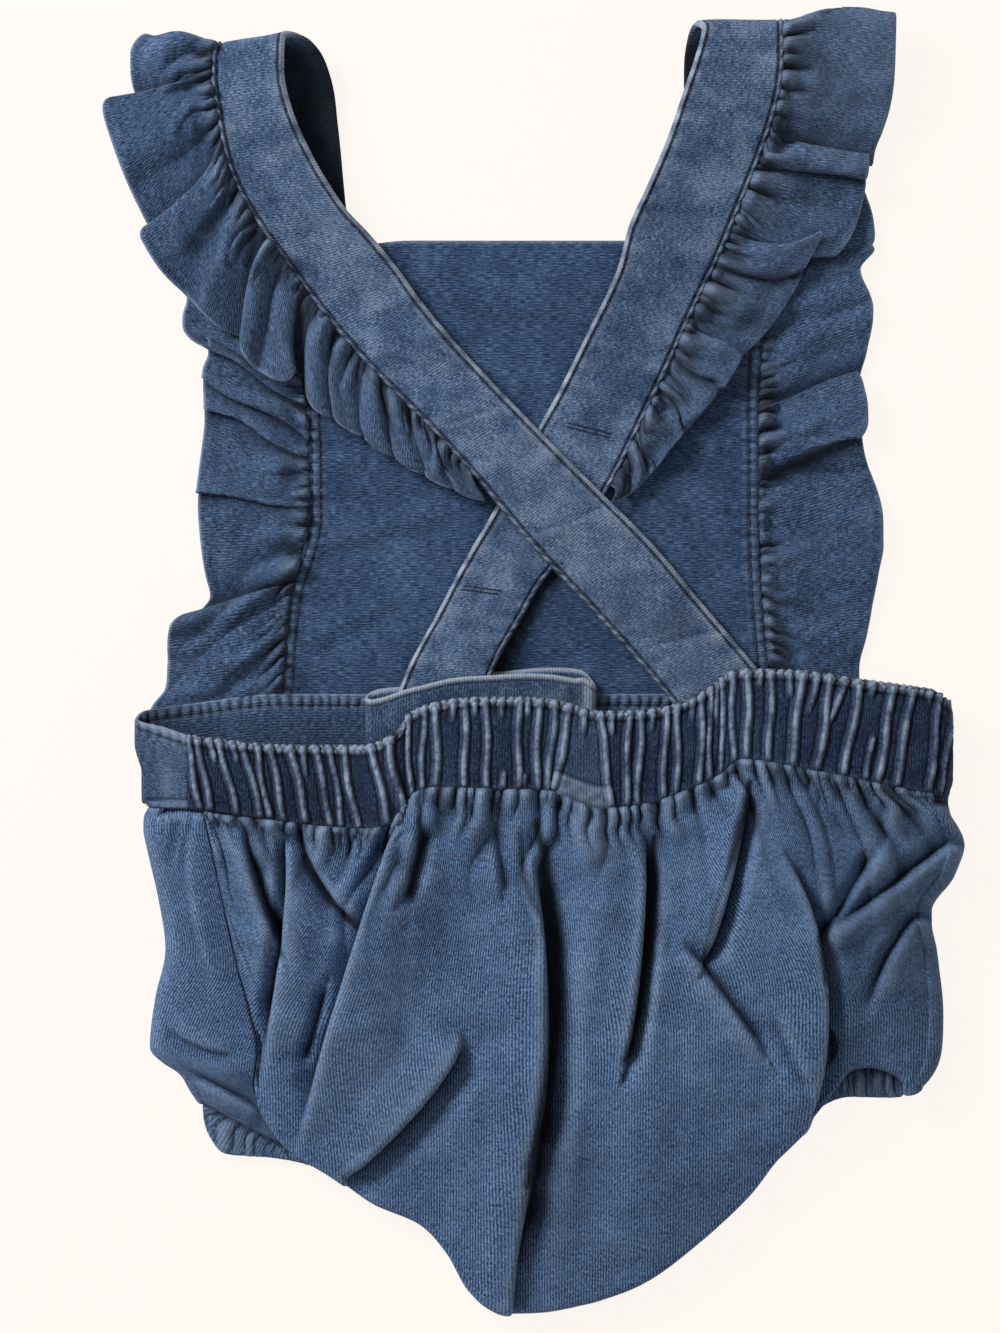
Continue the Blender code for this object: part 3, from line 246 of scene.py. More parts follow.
# Deep hollows of the seat's folds, where next to no light falls and painted shade is laid:
# a curve, its half width and how dark it is painted.
SEAT_HOLLOWS = table("x0 y0 x1 y1 x2 y2 half depth", (
    (34.5, -50, 33, -82, 26, -114, 3.6, 1), (0.5, -46, 6, -92, -1.8, -150, 5, 1),
    (62, -34, 59.5, -46, 55, -62, 2.6, 1), (55, -62, 51, -74, 48.5, -86, 1.3, 0.7),
    (-75, -50, -74, -66, -76.5, -82, 1.8, 0.5), (-83.5, -49, -79.2, -65, -72.2, -84, 2.6, 0.9),
    (-67.5, -53, -62.5, -64, -51.5, -76.5, 2.8, 0.75), (81, -78, 82.5, -84, 83, -92, 1.6, 0.9),
    (84.5, -104, 86.8, -110.5, 85.5, -116, 2, 1.2), (-79.5, -108, -82, -116, -81, -124, 1.8, 0.8),
    (-33.5, -44, -34, -54, -37, -64, 1.6, 0.7), (-4, -48, -3, -60, 1, -72, 2, 0.7)))

# Slant of the gathers under the back waistband, along it.
SEAT_GATHER_X = (-95, -80, -65, -50, -38, -34, 40, 60, 95, 115)
SEAT_GATHER_LEAN = (0.4, 0.3, 0.0, -0.4, -0.5, -0.1, 0.1, 0.25, 0.3, 0.1)

# Front panel: left outline of the laid garment, its legs and crotch, and its creases.
LEFT_OUTLINE = table("y x", (
    (-142, -90), (-137, -93.5), (-131, -95.4), (-124, -99.6), (-118.5, -103), (-115.5, -107.5),
    (-111.5, -111), (-97.5, -109.5), (-83, -106.5), (-68.5, -108.5), (-54, -111.8), (-48, -112.9),
    (-44.5, -112.7), (-42, -111.4), (-40, -110.4)))
FRONT_COLUMNS = table("top_x top_y foot_x foot_y", (
    (113.5, -37.9, 110.5, -112.5), (104, -37.3, 101.5, -113.8), (92, -36.8, 91, -115.4),
    (78, -36, 80, -121.5), (62, -35.4, 68, -131), (46, -35.4, 49, -144.5), (32, -35.4, 33, -159),
    (20, -35.4, 20.5, -175), (10, -35.4, 13, -180), (0, -35.4, 2, -181.8), (-11, -35.4, -11, -181),
    (-20, -35.4, -18, -173), (-28, -35.4, -30.5, -157), (-42, -35.4, -43, -147.5),
    (-56, -35.4, -59, -142), (-72, -35.4, -73, -135.5), (-90, -37, -84, -131.5),
    (-108, -39.8, -92.5, -130)))
FRONT_CREASES = table(CREASE_COLUMNS, (
    (-97, -44, -99.5, -66, -90, -100, 0.5, 1.2, 8, 8, 0.2),
    (-107, -104, -97, -110, -84, -113, 1, 1.6, 7, 6, 0.5),
    (-79, -131, -91, -124, -103, -118, 2.6, 3.2, 8, 4, 1),
    (-101, -45, -103, -52, -105, -62, 0.4, 0.8, 5, 5, 0.2)))

# Leg bindings: the gathered front edge of each leg opening, panel side and free side.
BINDING_COLUMNS = "inner_x inner_y outer_x outer_y height"
BINDING_LEFT = table(BINDING_COLUMNS, (
    (-92, -125, -96, -125.6, 1.7), (-91.5, -128.6, -96.4, -129.6, 1.7),
    (-90, -130.5, -95.4, -135.5, 1.9), (-86, -132.5, -90.5, -142.4, 1.8),
    (-80.5, -135, -84, -143.4, 1.7), (-74, -138.5, -76.5, -144, 1.3),
    (-69, -139, -69.5, -145.2, 0.9), (-59, -142.7, -60.5, -148, 0.8),
    (-43, -148.2, -45, -153.8, 0.8), (-31, -157.6, -33.5, -161.2, 0.8),
    (-24, -167.5, -27, -169.3, 0.8), (-19.4, -174.6, -21.2, -177.6, 0.8)))
BINDING_RIGHT = table(BINDING_COLUMNS, (
    (21.6, -176.8, 25, -178.6, 0.8), (34.3, -161, 37.5, -166, 0.8), (50, -146.2, 54.5, -152, 0.8),
    (69, -132.7, 73, -138.5, 0.8), (81, -123.2, 84.5, -128.8, 0.9), (91.8, -117.2, 93, -126.3, 1.2),
    (101, -116, 101.5, -126.5, 1.3), (105.5, -115.4, 106.5, -126.4, 1.2),
    (107.5, -115, 108.8, -124, 0.9)))

# Keeper: top edge of its lower layer, and how far the upper layer's edge lies below that.
KEEPER_TOP = table("x y drop", (
    (-48.5, -8.8, 2), (-45, -7.7, 2.6), (-34.5, -6.5, 0.5), (-24, -3.6, 0.9), (-10.5, -2.6, 0.9),
    (5, -1.4, 2), (11.5, -1.7, 2.8), (15, -2.8, 1.8), (17.5, -6, 0.8)))
KEEPER_LOW = 3.1
KEEPER_HIGH = 7.3

# Ruffles: the hem's path from the waist up the bib, over the shoulder and down the strap.
# `along` is the distance on the seam that feeds it, and `depth` how far a point lies
# tucked in a fold, from 0 on an open lobe to 1 where the cloth turns back under.
HEM_COLUMNS = "along x y z depth"
HEM_LEFT = table(HEM_COLUMNS, (
    (0, -112.6, -15.6, 0.45, 0), (2.6, -111.2, -12.2, 0.7, 0), (7, -107.6, -7.8, 1.8, 0),
    (15, -106.6, 0.3, 3.2, 0), (24, -106.4, 6.7, 5.2, 0), (31, -104.7, 12.2, 6.8, 0),
    (33, -101.5, 13.9, 5.6, 0.6), (34, -100.9, 11.9, 3.6, 1), (35, -98, 14.5, 2, 1),
    (37, -94.2, 19.4, 1.6, 0.6), (40, -95.7, 25.5, 1.5, 0.1), (45, -96.9, 33.3, 1.5, 0),
    (51, -97.7, 42, 1.6, 0.15), (55, -97.9, 46.4, 1.4, 0.5), (56, -97.7, 50.8, 1.6, 1),
    (56.5, -97.9, 51, 2.8, 1), (57.5, -98.5, 49.2, 4, 0), (60, -98, 52.5, 3.6, 0),
    (63, -97.3, 58, 2.8, 0), (66, -96.4, 65.8, 2, 0.1), (69, -96, 71, 1.4, 0.5),
    (70, -96, 75.7, 1.6, 1), (70.5, -96, 76, 2.8, 1), (71.5, -96.1, 73.4, 3.8, 0),
    (73, -96.1, 76.8, 3.2, 0), (75, -96.3, 80.3, 2, 0.4), (75.5, -96.3, 84.4, 1.8, 1),
    (76, -96.3, 84.7, 2.8, 1), (76.5, -96.6, 82.9, 3.8, 0), (80, -96, 86.7, 3.2, 0),
    (84, -94.8, 90.2, 2.2, 0.4), (85, -94.8, 94.8, 2, 1), (86, -95.1, 95.4, 3.2, 1),
    (87, -94.2, 90.8, 4.2, 0), (89, -96.9, 92.2, 4.2, 0), (92, -100.3, 94.5, 4, 0),
    (96, -102.1, 97.4, 3.8, 0), (101, -102.2, 100.9, 3.4, 0), (106, -100.9, 105.8, 2.6, 0.2),
    (112, -102.4, 111.1, 1.8, 0.3), (120, -105, 116.3, 1.4, 0.3), (128, -108.5, 123.8, 1.4, 0.3),
    (136, -111.4, 130.8, 1.4, 0.3), (145, -114, 137.8, 1.3, 0.3), (154, -114.8, 145.9, 1.3, 0.3),
    (162, -115.4, 154.6, 1.3, 0.2), (170, -116, 161.8, 1.4, 0.1), (177, -116.3, 167.6, 2.2, 0),
    (183, -116.9, 174.3, 4.2, 0), (187, -115.4, 179.2, 5.6, 0), (191, -112.5, 182.1, 7.4, 0),
    (194, -114.5, 180.7, 8.8, 0), (197, -116.7, 176.3, 9.4, 0), (200, -116.7, 171.4, 9.2, 0),
    (202, -116.3, 167.3, 8.4, 0.4), (203, -115.1, 163.3, 8, 1), (203.5, -115.4, 163, 9, 1),
    (205, -123.2, 163, 10.8, 0), (206, -124.6, 160.9, 10.8, 0), (207.5, -124.3, 158, 10.6, 0),
    (210.5, -122.4, 151.7, 10, 0), (214, -119.5, 143.5, 9, 0), (217.5, -116.6, 136.3, 7.8, 0),
    (220, -113.4, 129.6, 6.2, 0.2), (221, -111.9, 126.7, 5.6, 0.5), (221.5, -109.6, 122.7, 5.6, 1),
    (222, -109.9, 122.4, 7.2, 1), (223, -113.4, 125.6, 9.6, 0), (224, -114, 123.5, 9.8, 0),
    (226, -112.8, 120.9, 9.4, 0), (229, -108.7, 114.3, 8, 0), (232, -105.6, 110.8, 6.4, 0.2),
    (235, -102.1, 107.6, 5.4, 0.45), (239, -98.9, 104.4, 6.2, 0.1), (242, -96.9, 102.1, 6.8, 0),
    (246, -94.2, 99.5, 5.8, 0.1), (249, -90.5, 96.6, 4.6, 0.4), (251, -87.6, 95.4, 4, 0.7),
    (253, -85.3, 94.8, 4, 0.9), (254, -81.8, 92.2, 4, 1), (255, -82.1, 92.5, 6.4, 1),
    (256, -84.4, 94.2, 9.2, 0), (257, -84.8, 91.3, 9.4, 0), (258.5, -83.8, 88.4, 9.2, 0),
    (261, -81.8, 86.1, 8.6, 0), (264, -78.6, 83.8, 8, 0), (267, -74.8, 81.8, 8, 0),
    (269.5, -71.6, 81.3, 8.4, 0), (271, -69.9, 82.6, 8.6, 0), (272, -69, 85, 7.4, 0.5),
    (273, -69.6, 86.1, 5.2, 1), (274, -69, 84.4, 3.6, 1), (276, -67, 82.6, 3, 1),
    (278, -65.2, 82.1, 3.4, 1), (279, -66.1, 78.6, 5.4, 1), (280, -65.2, 75.7, 7.6, 0),
    (281.5, -64.1, 73.7, 7.8, 0), (283.5, -62.1, 72.2, 7.4, 0), (286, -59.4, 71.3, 6.6, 0.1),
    (288, -58, 71.6, 5.4, 0.6), (288.5, -56.8, 72.8, 4.6, 1), (289, -58, 72.8, 6, 1),
    (290, -58, 71.3, 7.2, 0), (291.5, -57.1, 69.6, 7.4, 0), (294, -54.2, 67.6, 7, 0),
    (296.5, -51.3, 66.1, 6.4, 0.1), (298, -49.9, 65.8, 5.4, 0.6), (298.5, -48.1, 66.4, 4.6, 1),
    (299, -49.3, 67, 6, 1), (300, -49.3, 65.5, 7, 0), (302, -47.3, 63.2, 7, 0),
    (304.5, -44.4, 61.2, 6.6, 0), (307, -41.5, 60, 5.8, 0.2), (308, -40.3, 59.7, 5, 0.6),
    (308.5, -38.9, 60, 4.4, 1), (309, -40, 60.9, 5.8, 1), (310, -40, 59.4, 6.8, 0),
    (312, -38.3, 57.4, 6.8, 0), (315, -35.1, 55.7, 6.4, 0), (318, -32.2, 54.8, 5.6, 0.3),
    (318.5, -30.2, 55.1, 4.4, 1), (319, -31.3, 56, 5.6, 1), (320, -31.6, 54.5, 6.6, 0),
    (322.5, -29.6, 52.8, 6.4, 0), (326, -26.4, 51.3, 5.8, 0.1), (329, -23.8, 50.5, 5, 0.5),
    (329.5, -22.3, 50.8, 4.6, 1), (330, -23.2, 51.6, 5.6, 1), (331, -23.5, 50.5, 6.2, 0),
    (334, -21.2, 49, 6, 0), (338, -18.3, 47.6, 5.4, 0.2), (341, -16.2, 47.3, 5, 0.5),
    (346, -13.6, 46.4, 5, 0.5)))
HEM_RIGHT = table(HEM_COLUMNS, (
    (0, 94.8, -10.8, 0.45, 0), (2.4, 94.8, -8.2, 0.7, 0), (8, 94.8, -1.4, 1.6, 0),
    (14, 96.9, 7.8, 2, 0), (22, 98.6, 17.1, 2.8, 0), (30, 100, 25.2, 3.8, 0),
    (37, 101.5, 34.2, 4.4, 0), (43, 101.5, 41.5, 4, 0), (50, 100.6, 48.1, 3, 0),
    (57, 98.3, 54.8, 2, 0.1), (63, 96.3, 60.3, 1.4, 0.5), (64, 95.4, 67.6, 1.6, 1),
    (65, 95.4, 68.1, 3.4, 1), (70, 94.8, 65.2, 5.6, 0), (71.5, 96.3, 67.3, 6, 0),
    (74, 96.9, 70.5, 6, 0), (77, 96.7, 75.7, 5.8, 0), (80, 95.7, 80.6, 5.6, 0),
    (82.5, 94.8, 83.5, 5.2, 0), (84, 93.7, 85, 4.6, 0.5), (84.5, 94, 82.6, 3, 1),
    (85, 94.5, 80.9, 2, 1), (86, 95.1, 84.4, 1.6, 1), (88, 96.6, 89.3, 1.8, 0.4),
    (92, 97.4, 93.1, 2.2, 0.1), (97, 98.3, 98, 2.8, 0), (102, 98.6, 103.8, 3.4, 0),
    (107, 97.4, 107.9, 3.4, 0), (111, 95.7, 111.1, 3, 0), (114, 94.8, 114.5, 2.6, 0),
    (118, 97.4, 118, 2.8, 0), (121, 99.2, 120.1, 3, 0), (123, 98.3, 121.8, 2.4, 0.4),
    (125, 96.3, 123.2, 1.6, 0.8), (128, 98, 121.2, 2.6, 0), (132, 99.2, 123.2, 2.8, 0),
    (138, 98.6, 129.9, 2.6, 0), (145, 96.9, 135.7, 2, 0.1), (152, 95.1, 141.5, 1.6, 0.2),
    (160, 95.7, 148.8, 1.4, 0.2), (168, 98, 156, 1.5, 0.2), (174, 100.9, 164.7, 2, 0.1),
    (180, 102.9, 173.4, 2.8, 0), (185, 103.8, 180.7, 4, 0), (189, 104.1, 185.3, 5.4, 0),
    (193, 104.3, 187.9, 8.6, 0), (196, 104.4, 187, 10.4, 0), (199, 104.3, 182.1, 11.2, 0),
    (204, 104.1, 174.9, 11.2, 0), (210, 103.7, 166.8, 10.4, 0), (216, 102.7, 159.8, 8.8, 0),
    (222, 100.6, 153.1, 7.2, 0.1), (226, 98.9, 148.8, 5.4, 0.4), (227, 98, 144.1, 5.4, 1),
    (228, 97.4, 144.1, 7.4, 1), (229, 96.6, 147.3, 8.8, 0), (231, 96.7, 145.3, 9.6, 0),
    (234, 96.6, 142.4, 9.2, 0), (236, 96.3, 140.4, 8.2, 0), (237, 96, 139.8, 6.6, 0.8),
    (238, 96, 140.9, 5.2, 1), (239, 96.3, 139.8, 4.6, 1), (241, 96, 137.5, 5, 0.3),
    (244, 95.1, 132.8, 5.4, 0), (248, 93.7, 127.9, 6, 0), (251, 91.6, 123.2, 6.4, 0),
    (254, 89, 119.5, 6.6, 0), (256, 87, 117.7, 6.6, 0), (258, 85, 118.3, 6.2, 0),
    (259.5, 83.2, 120.9, 5.4, 0.2), (260.5, 82.4, 123.2, 4.8, 0.6), (261, 80.9, 121.8, 4.8, 1),
    (261.5, 80.6, 121.8, 6.8, 1), (262.5, 82.9, 125, 9, 0), (264, 83.5, 124.1, 9.2, 0),
    (266, 82.1, 121.2, 8.8, 0), (268.5, 80, 117.2, 8, 0), (270.5, 78.3, 114.3, 7.2, 0.1),
    (271.5, 77.1, 113.4, 6, 0.8), (272, 78, 115.1, 5, 1), (272.5, 78, 114, 4.6, 1),
    (273.5, 76.8, 110.5, 5.2, 0.2), (276, 74.5, 106.4, 5.4, 0), (279.5, 71.6, 101.8, 5.4, 0),
    (283, 67.6, 96.3, 5, 0), (286, 63.8, 92.2, 4.6, 0.1), (289, 60.9, 89.6, 4.2, 0.4),
    (289.5, 59.2, 86.7, 4.2, 1), (290, 58.6, 86.7, 5.6, 1), (291, 59.2, 90.2, 7.4, 0),
    (292, 60, 89, 7.6, 0), (294, 58.9, 86.1, 7.2, 0), (297, 56.8, 82.6, 6.8, 0),
    (299, 54.8, 79.5, 6.2, 0.1), (300, 52.8, 79.8, 5.2, 0.7), (300.5, 53.4, 81.5, 4.2, 1),
    (301.5, 53.1, 78.3, 4.4, 0.3), (304, 50.8, 75.1, 4.8, 0), (307, 47.8, 71.6, 4.6, 0),
    (310, 44.7, 68.1, 4.2, 0.2), (310.5, 42.9, 65.8, 3.8, 1), (311, 42.3, 65.8, 5, 1),
    (312, 43.2, 67.6, 6.4, 0), (313.5, 43.2, 66.4, 6.4, 0), (316, 41.2, 64.1, 6, 0),
    (319, 38.9, 61.2, 5.4, 0), (321, 36.5, 58, 4.8, 0.2), (322, 35.1, 56.3, 4.2, 0.6),
    (322.5, 33.6, 54.8, 3.6, 1), (323, 33.6, 55.1, 4.8, 1), (324, 35.1, 57.1, 5.6, 0),
    (326, 33.9, 54.8, 5.4, 0), (329, 31.6, 52.2, 4.8, 0.1), (332, 29, 49.9, 4.2, 0.4),
    (336, 26.4, 48.1, 3.8, 0.5), (343, 22.3, 46.4, 3.6, 0.5)))
HEM_ROUND = 0.85       # how far the hem's path is smoothed, which rounds its corners
HEM_STEP = 0.72        # distance between two points of the hem
RUFFLE_LEAN = ((0, 30, 45), (-0.8, -0.6, 0.0))   # slant of a ruffle's gathers, along its seam
RUFFLE_CURL = 1.2      # how far a lobe's folds curl to either side
RUFFLE_SHOULDER = 0.2  # how far the strap's lobes swell out, as a share of their depth

# Sewing and fit of the bib and the straps.
BIB_TUCK = 1.6          # how far the bib's foot runs on under the front waistband
BIB_LINES = (0.9, 3.5)  # distances of the bib's two rows of stitches from its side
# Line on the bib along which a shadow is painted, where the strap's edge stands off it and keeps
# the light out.
BIB_STRAP_SHADOW = ((8.0, 2.0, -5.0, -10.0, -14.0), (29.0, 23.5, 11.0, 0.5, -8.0))
STRAP_HALF = 1.0        # half the folded strap's thickness
PIPING_LINE = 1.8       # distance of the inner edge's stitches from it
RUFFLE_LINE = 1.8       # distance of the ruffle side's stitches from the edge
FRONT_RUN = (2.0, 14.0, 58.0, 70.0)   # stretch of a strap painted near black as the shade inside its own fold
# Places across a strap from each edge, close together where it is sewn.
STRAP_STEPS = (0.0, 0.12, 0.35, 0.65, 0.95, 1.2, 1.5, 1.8, 2.1, 2.35, 2.6, 2.9, 3.3, 4.0, 5.2, 6.4,
               7.7, 9.0, 10.2)
# The buttonholes' stitches, in metres: distance, length and thread.
BUTTONHOLE_SEWING = (0.0011, 0.0014, 0.0005)

# Stage.
FLOOR_GREY = 0.08      # how much of the floor's own colour the lamps bring out
ROOM_LIGHT = 0.27      # strength of the room's own light on the cloth
ROOM_SEEN = 1.0        # strength at which the camera sees the room beyond the floor
LENS, SENSOR = 85.0, 36.0      # the camera's lens and sensor
LONG_SIDE = 386.6              # what the long side of the view covers on the floor
VIEW_CENTRE = (-9.9, -1.0)
VIEW_HEIGHT = 5.0              # height above the floor at which that is measured
FLOOR_HALF, FLOOR_Z = 9, -0.0003   # half the floor's side and its height, in metres


# ---------------------------------------------------------------- shapes of the cloth

def smooth_through(keys, values, at):
    """Read a smooth curve through rows of keys and values without overshoot."""
    step = np.diff(keys)
    slope = np.diff(values) / step
    tangent = np.zeros(len(keys))
    tangent[1:-1] = np.where(slope[1:] * slope[:-1] > 0, (slope[1:] + slope[:-1]) / 2, 0)
    tangent[0], tangent[-1] = slope[0], slope[-1]
    limit = 3 * np.minimum(np.abs(np.r_[slope[0], slope]), np.abs(np.r_[slope, slope[-1]]))
    tangent = np.clip(tangent, -limit, limit)
    at = np.clip(at, keys[0], keys[-1])
    row = np.clip(np.searchsorted(keys, at, side="right") - 1, 0, len(step) - 1)
    t = (at - keys[row]) / step[row]
    return ((1 + 2 * t) * (1 - t) ** 2 * values[row] + t * (1 - t) ** 2 * step[row] * tangent[row]
            + t * t * (3 - 2 * t) * values[row + 1]
            - t * t * (1 - t) * step[row] * tangent[row + 1])


def ease(value, start=0.0, end=1.0):
    """Smooth step from 0 at start to 1 at end."""
    t = np.clip((np.asarray(value, dtype=float) - start) / (end - start), 0, 1)
    return t * t * (3 - 2 * t)


def bump(offset):
    """Round hump of height 1 at 0 that is gone at 1 and -1."""
    return np.clip(1 - np.asarray(offset) ** 2, 0, 1) ** 2


def arc_lengths(*coordinates):
    """Distance along a line of points, from its first point."""
    steps = np.sqrt(sum(np.diff(values) ** 2 for values in coordinates))
    return np.r_[0, np.cumsum(steps)]


def stack(x, y, z):
    """Join three coordinate grids into one grid of points."""
    return np.stack(np.broadcast_arrays(x, y, z), axis=2).astype(float)


def unit(vectors):
    """Scale vectors to length 1."""
    return vectors / np.maximum(np.linalg.norm(vectors, axis=-1, keepdims=True), 1e-9)


def softened(values, passes):
    """Average a grid of values with its neighbours, a few times over."""
    for _ in range(passes):
        for axis in (0, 1):
            swapped = np.swapaxes(values, 0, axis)
            wide = np.concatenate((swapped[:1], swapped, swapped[-1:]))
            values = np.swapaxes((wide[:-2] + 2 * wide[1:-1] + wide[2:]) / 4, 0, axis)
    return values


def ripples(x, y, size, seed):
    """Soft uneven waves about 1 high, of about that size."""
    rng = np.random.default_rng(seed)
    total = 0
    for _ in range(9):
        turn, phase = rng.uniform(0, 2 * math.pi, 2)
        pitch = size * rng.uniform(0.7, 1.7)
        total = (total + np.sin((x * math.cos(turn) + y * math.sin(turn)) * 2 * math.pi / pitch
                                + phase))
    return total / 3


def gathers(along, away, spacing, height, reach, seed, lean=None, sharp=6):
    """Uneven pleats that fan out from a gathered seam: how high each point lies on one,
    and how deep between two.  Lean gives the pleats' slant along the seam, sharp how
    narrow the creases between them are."""
    rng = np.random.default_rng(seed)
    along, away = np.broadcast_arrays(np.asarray(along, dtype=float), away)
    if lean:
        along = along - np.interp(along, *lean) * away
    along = (along + 0.3 * spacing * ripples(away, 0.15 * along, 4 * spacing, seed + 5)
             * ease(away, 0, 2 * spacing))
    low, high = along.min() - 3 * spacing, along.max() + 3 * spacing
    marks = low + spacing * np.cumsum(rng.uniform(0.4, 1.7, int(1.3 * (high - low) / spacing)))
    number = np.interp(along, marks, np.arange(len(marks)))
    cell = np.minimum(number.astype(int), len(marks) - 2)
    size, longer, skew = (rng.uniform(a, b, len(marks))
                          for a, b in ((0.35, 1.25), (0.25, 1.8), (0.65, 1.5)))
    side = np.abs(2 * (number - cell) ** skew[cell] - 1)
    length = reach * longer[cell]
    fade = 1 - ease(away, 0.1 * length, length)
    lift = height * size[cell] * (1 - side ** 2.3) * fade
    between = softened(np.clip(side ** sharp * fade * size[cell] * 1.3, 0, 1), 1)
    return lift, between


def curve_through(points, count):
    """Line of count points that bends smoothly through three points."""
    (x0, y0), (x1, y1), (x2, y2) = points
    t = np.linspace(0, 1, count)
    return tuple((1 - t) ** 2 * a + 2 * t * (1 - t) * (2 * b - (a + c) / 2) + t * t * c
                 for a, b, c in ((x0, x1, x2), (y0, y1, y2)))


def beside(x, y, line_x, line_y):
    """Place of plan points beside a line: distance (positive on its left), share of the
    line at the nearest point, and the direction to its left there."""
    best = np.full(x.shape, 1e12)
    distance, share, left_x, left_y = (np.zeros(x.shape) for _ in range(4))
    for i in range(len(line_x) - 1):
        run_x, run_y = line_x[i + 1] - line_x[i], line_y[i + 1] - line_y[i]
        length = math.hypot(run_x, run_y)
        t = np.clip(((x - line_x[i]) * run_x + (y - line_y[i]) * run_y) / length ** 2, 0, 1)
        off_x, off_y = x - line_x[i] - t * run_x, y - line_y[i] - t * run_y
        square = off_x ** 2 + off_y ** 2
        near = square < best
        side = np.where(run_x * off_y - run_y * off_x >= 0, 1.0, -1.0)
        best = np.where(near, square, best)
        distance = np.where(near, side * np.sqrt(square), distance)
        share = np.where(near, (i + t) / (len(line_x) - 1), share)
        left_x = np.where(near, -run_y / length, left_x)
        left_y = np.where(near, run_x / length, left_y)
    return distance, share, left_x, left_y


def creased(x, y, creases, edge=1.4):
    """Moves that a table of creases gives to laid cloth at plan points x, y."""
    move_x, move_y, move_z = (np.zeros(x.shape) for _ in range(3))
    for x0, y0, x1, y1, x2, y2, ridge, dip, ridge_width, dip_width, lean in zip(*creases.values()):
        line = curve_through(((x0, y0), (x1, y1), (x2, y2)), 16)
        away, share, left_x, left_y = beside(x, y, *line)
        fade = ease(share, -0.08, 0.14) * (1 - ease(share, 0.72, 1.0))
        high = ridge * bump(np.clip(away / ridge_width, -1, 1))
        low = -dip * bump(np.clip(away / dip_width, -1, 1))
        over = ease(away, -edge, edge)
        move_z += (low + (high - low) * over) * fade
        slide = lean * over * bump(np.clip(away / (0.7 * ridge_width), -1, 1)) * fade
        move_x -= left_x * slide
        move_y -= left_y * slide
    return move_x, move_y, move_z


def normals_of(middle, closed):
    """Unit normals of a grid of points; closed grids join their last column to the first."""
    if closed:
        across = np.roll(middle, -1, axis=1) - np.roll(middle, 1, axis=1)
    else:
        across = np.gradient(middle, axis=1)
    down = np.gradient(middle, axis=0)
    return unit(np.cross(down, across))


def surface_lengths(middle):
    """Distance across each row from its middle column, and down the middle column."""
    across = np.linalg.norm(np.diff(middle, axis=1), axis=2)
    across = np.concatenate((np.zeros((len(middle), 1)), np.cumsum(across, axis=1)), axis=1)
    across = across - across[:, across.shape[1] // 2:across.shape[1] // 2 + 1]
    centre = middle[:, middle.shape[1] // 2]
    down = arc_lengths(*centre.T)
    return across, np.broadcast_to(down[:, None], across.shape)


def mirrored(made):
    """The same cloth with its columns the other way about."""
    middle, grain, wear_and_highlight, painted_shade = made
    grain = tuple(values[:, ::-1] for values in grain)
    return middle[:, ::-1], grain, wear_and_highlight[:, ::-1], painted_shade[:, ::-1]


def quads(*corners):
    """Faces from four grids of corner numbers."""
    return np.stack([np.ravel(corner) for corner in corners], axis=1)


def each_point(values, shape, sides):
    """One value a point, the same on each side of the cloth."""
    return np.tile(np.broadcast_to(np.asarray(values, dtype=float), shape).ravel(), sides)


def woven(name, points, faces, made, sides, material):
    """Make an object of cloth from its points, in millimetres, and what each one carries."""
    middle, grain, wear_and_highlight, painted_shade = made
    shape = middle.shape[:2]
    points[:, 2] = np.maximum(points[:, 2], LOWEST_POINT)
    mesh = bpy.data.meshes.new(name)
    mesh.from_pydata((points * MM).tolist(), [], faces)
    mesh.shade_smooth()
    place = np.stack([each_point(values, shape, sides) for values in grain], axis=1)
    layer = mesh.uv_layers.new(name="grain")
    corners = np.empty(len(mesh.loops), dtype=np.int32)
    mesh.loops.foreach_get("vertex_index", corners)
    layer.data.foreach_set("uv", (place * MM)[corners].astype(np.float32).ravel())
    for key, values in (("wear_and_highlight", wear_and_highlight), ("painted_shade", painted_shade)):
        spread = np.clip(each_point(values, shape, sides), 0, 1)
        mesh.attributes.new(key, "FLOAT", "POINT").data.foreach_set("value", spread)
    mesh.materials.append(material)
    return linked(bpy.data.objects.new(name, mesh))


def linked(thing):
    """Put an object in the scene and give it back."""
    bpy.context.scene.collection.objects.link(thing)
    return thing


def cloth(name, made, thickness, material, closed=False):
    """One shell of cloth round a grid of middle points, in millimetres.

    Made holds the grid, its grain, wear_and_highlight and painted_shade.  The rows run down
    the piece and the columns across it, so that the normals point out of the garment.  Grain
    gives the place in the cloth, first across the wales and then along them;
    wear_and_highlight is how far the dye is rubbed off, with a painted highlight on the right
    ruffle's shoulder, and painted_shade how dark the colour is painted where shade falls, in
    folds, grooves, hollows and under other parts.
    """
    middle = made[0]
    rows, columns = middle.shape[:2]
    normal = normals_of(middle, closed)
    thick = np.full((rows, columns, 1), thickness / 2)
    thick[0] *= 0.5
    thick[-1] *= 0.5
    if not closed:
        thick[:, 0] *= 0.5
        thick[:, -1] *= 0.5
    points = np.concatenate(((middle + normal * thick).reshape(-1, 3),
                             (middle - normal * thick).reshape(-1, 3)))
    top, low = np.arange(2 * rows * columns).reshape(2, rows, columns)
    if closed:
        top, low = (np.concatenate((side, side[:, :1]), axis=1) for side in (top, low))
    faces = [quads(top[:-1, :-1], top[1:, :-1], top[1:, 1:], top[:-1, 1:]),
             quads(low[:-1, :-1], low[:-1, 1:], low[1:, 1:], low[1:, :-1]),
             quads(top[0, :-1], top[0, 1:], low[0, 1:], low[0, :-1]),
             quads(top[-1, 1:], top[-1, :-1], low[-1, :-1], low[-1, 1:])]
    if not closed:
        faces.append(quads(top[1:, 0], top[:-1, 0], low[:-1, 0], low[1:, 0]))
        faces.append(quads(top[:-1, -1], top[1:, -1], low[1:, -1], low[:-1, -1]))
    return woven(name, points, np.concatenate(faces).tolist(), made, 2, material)


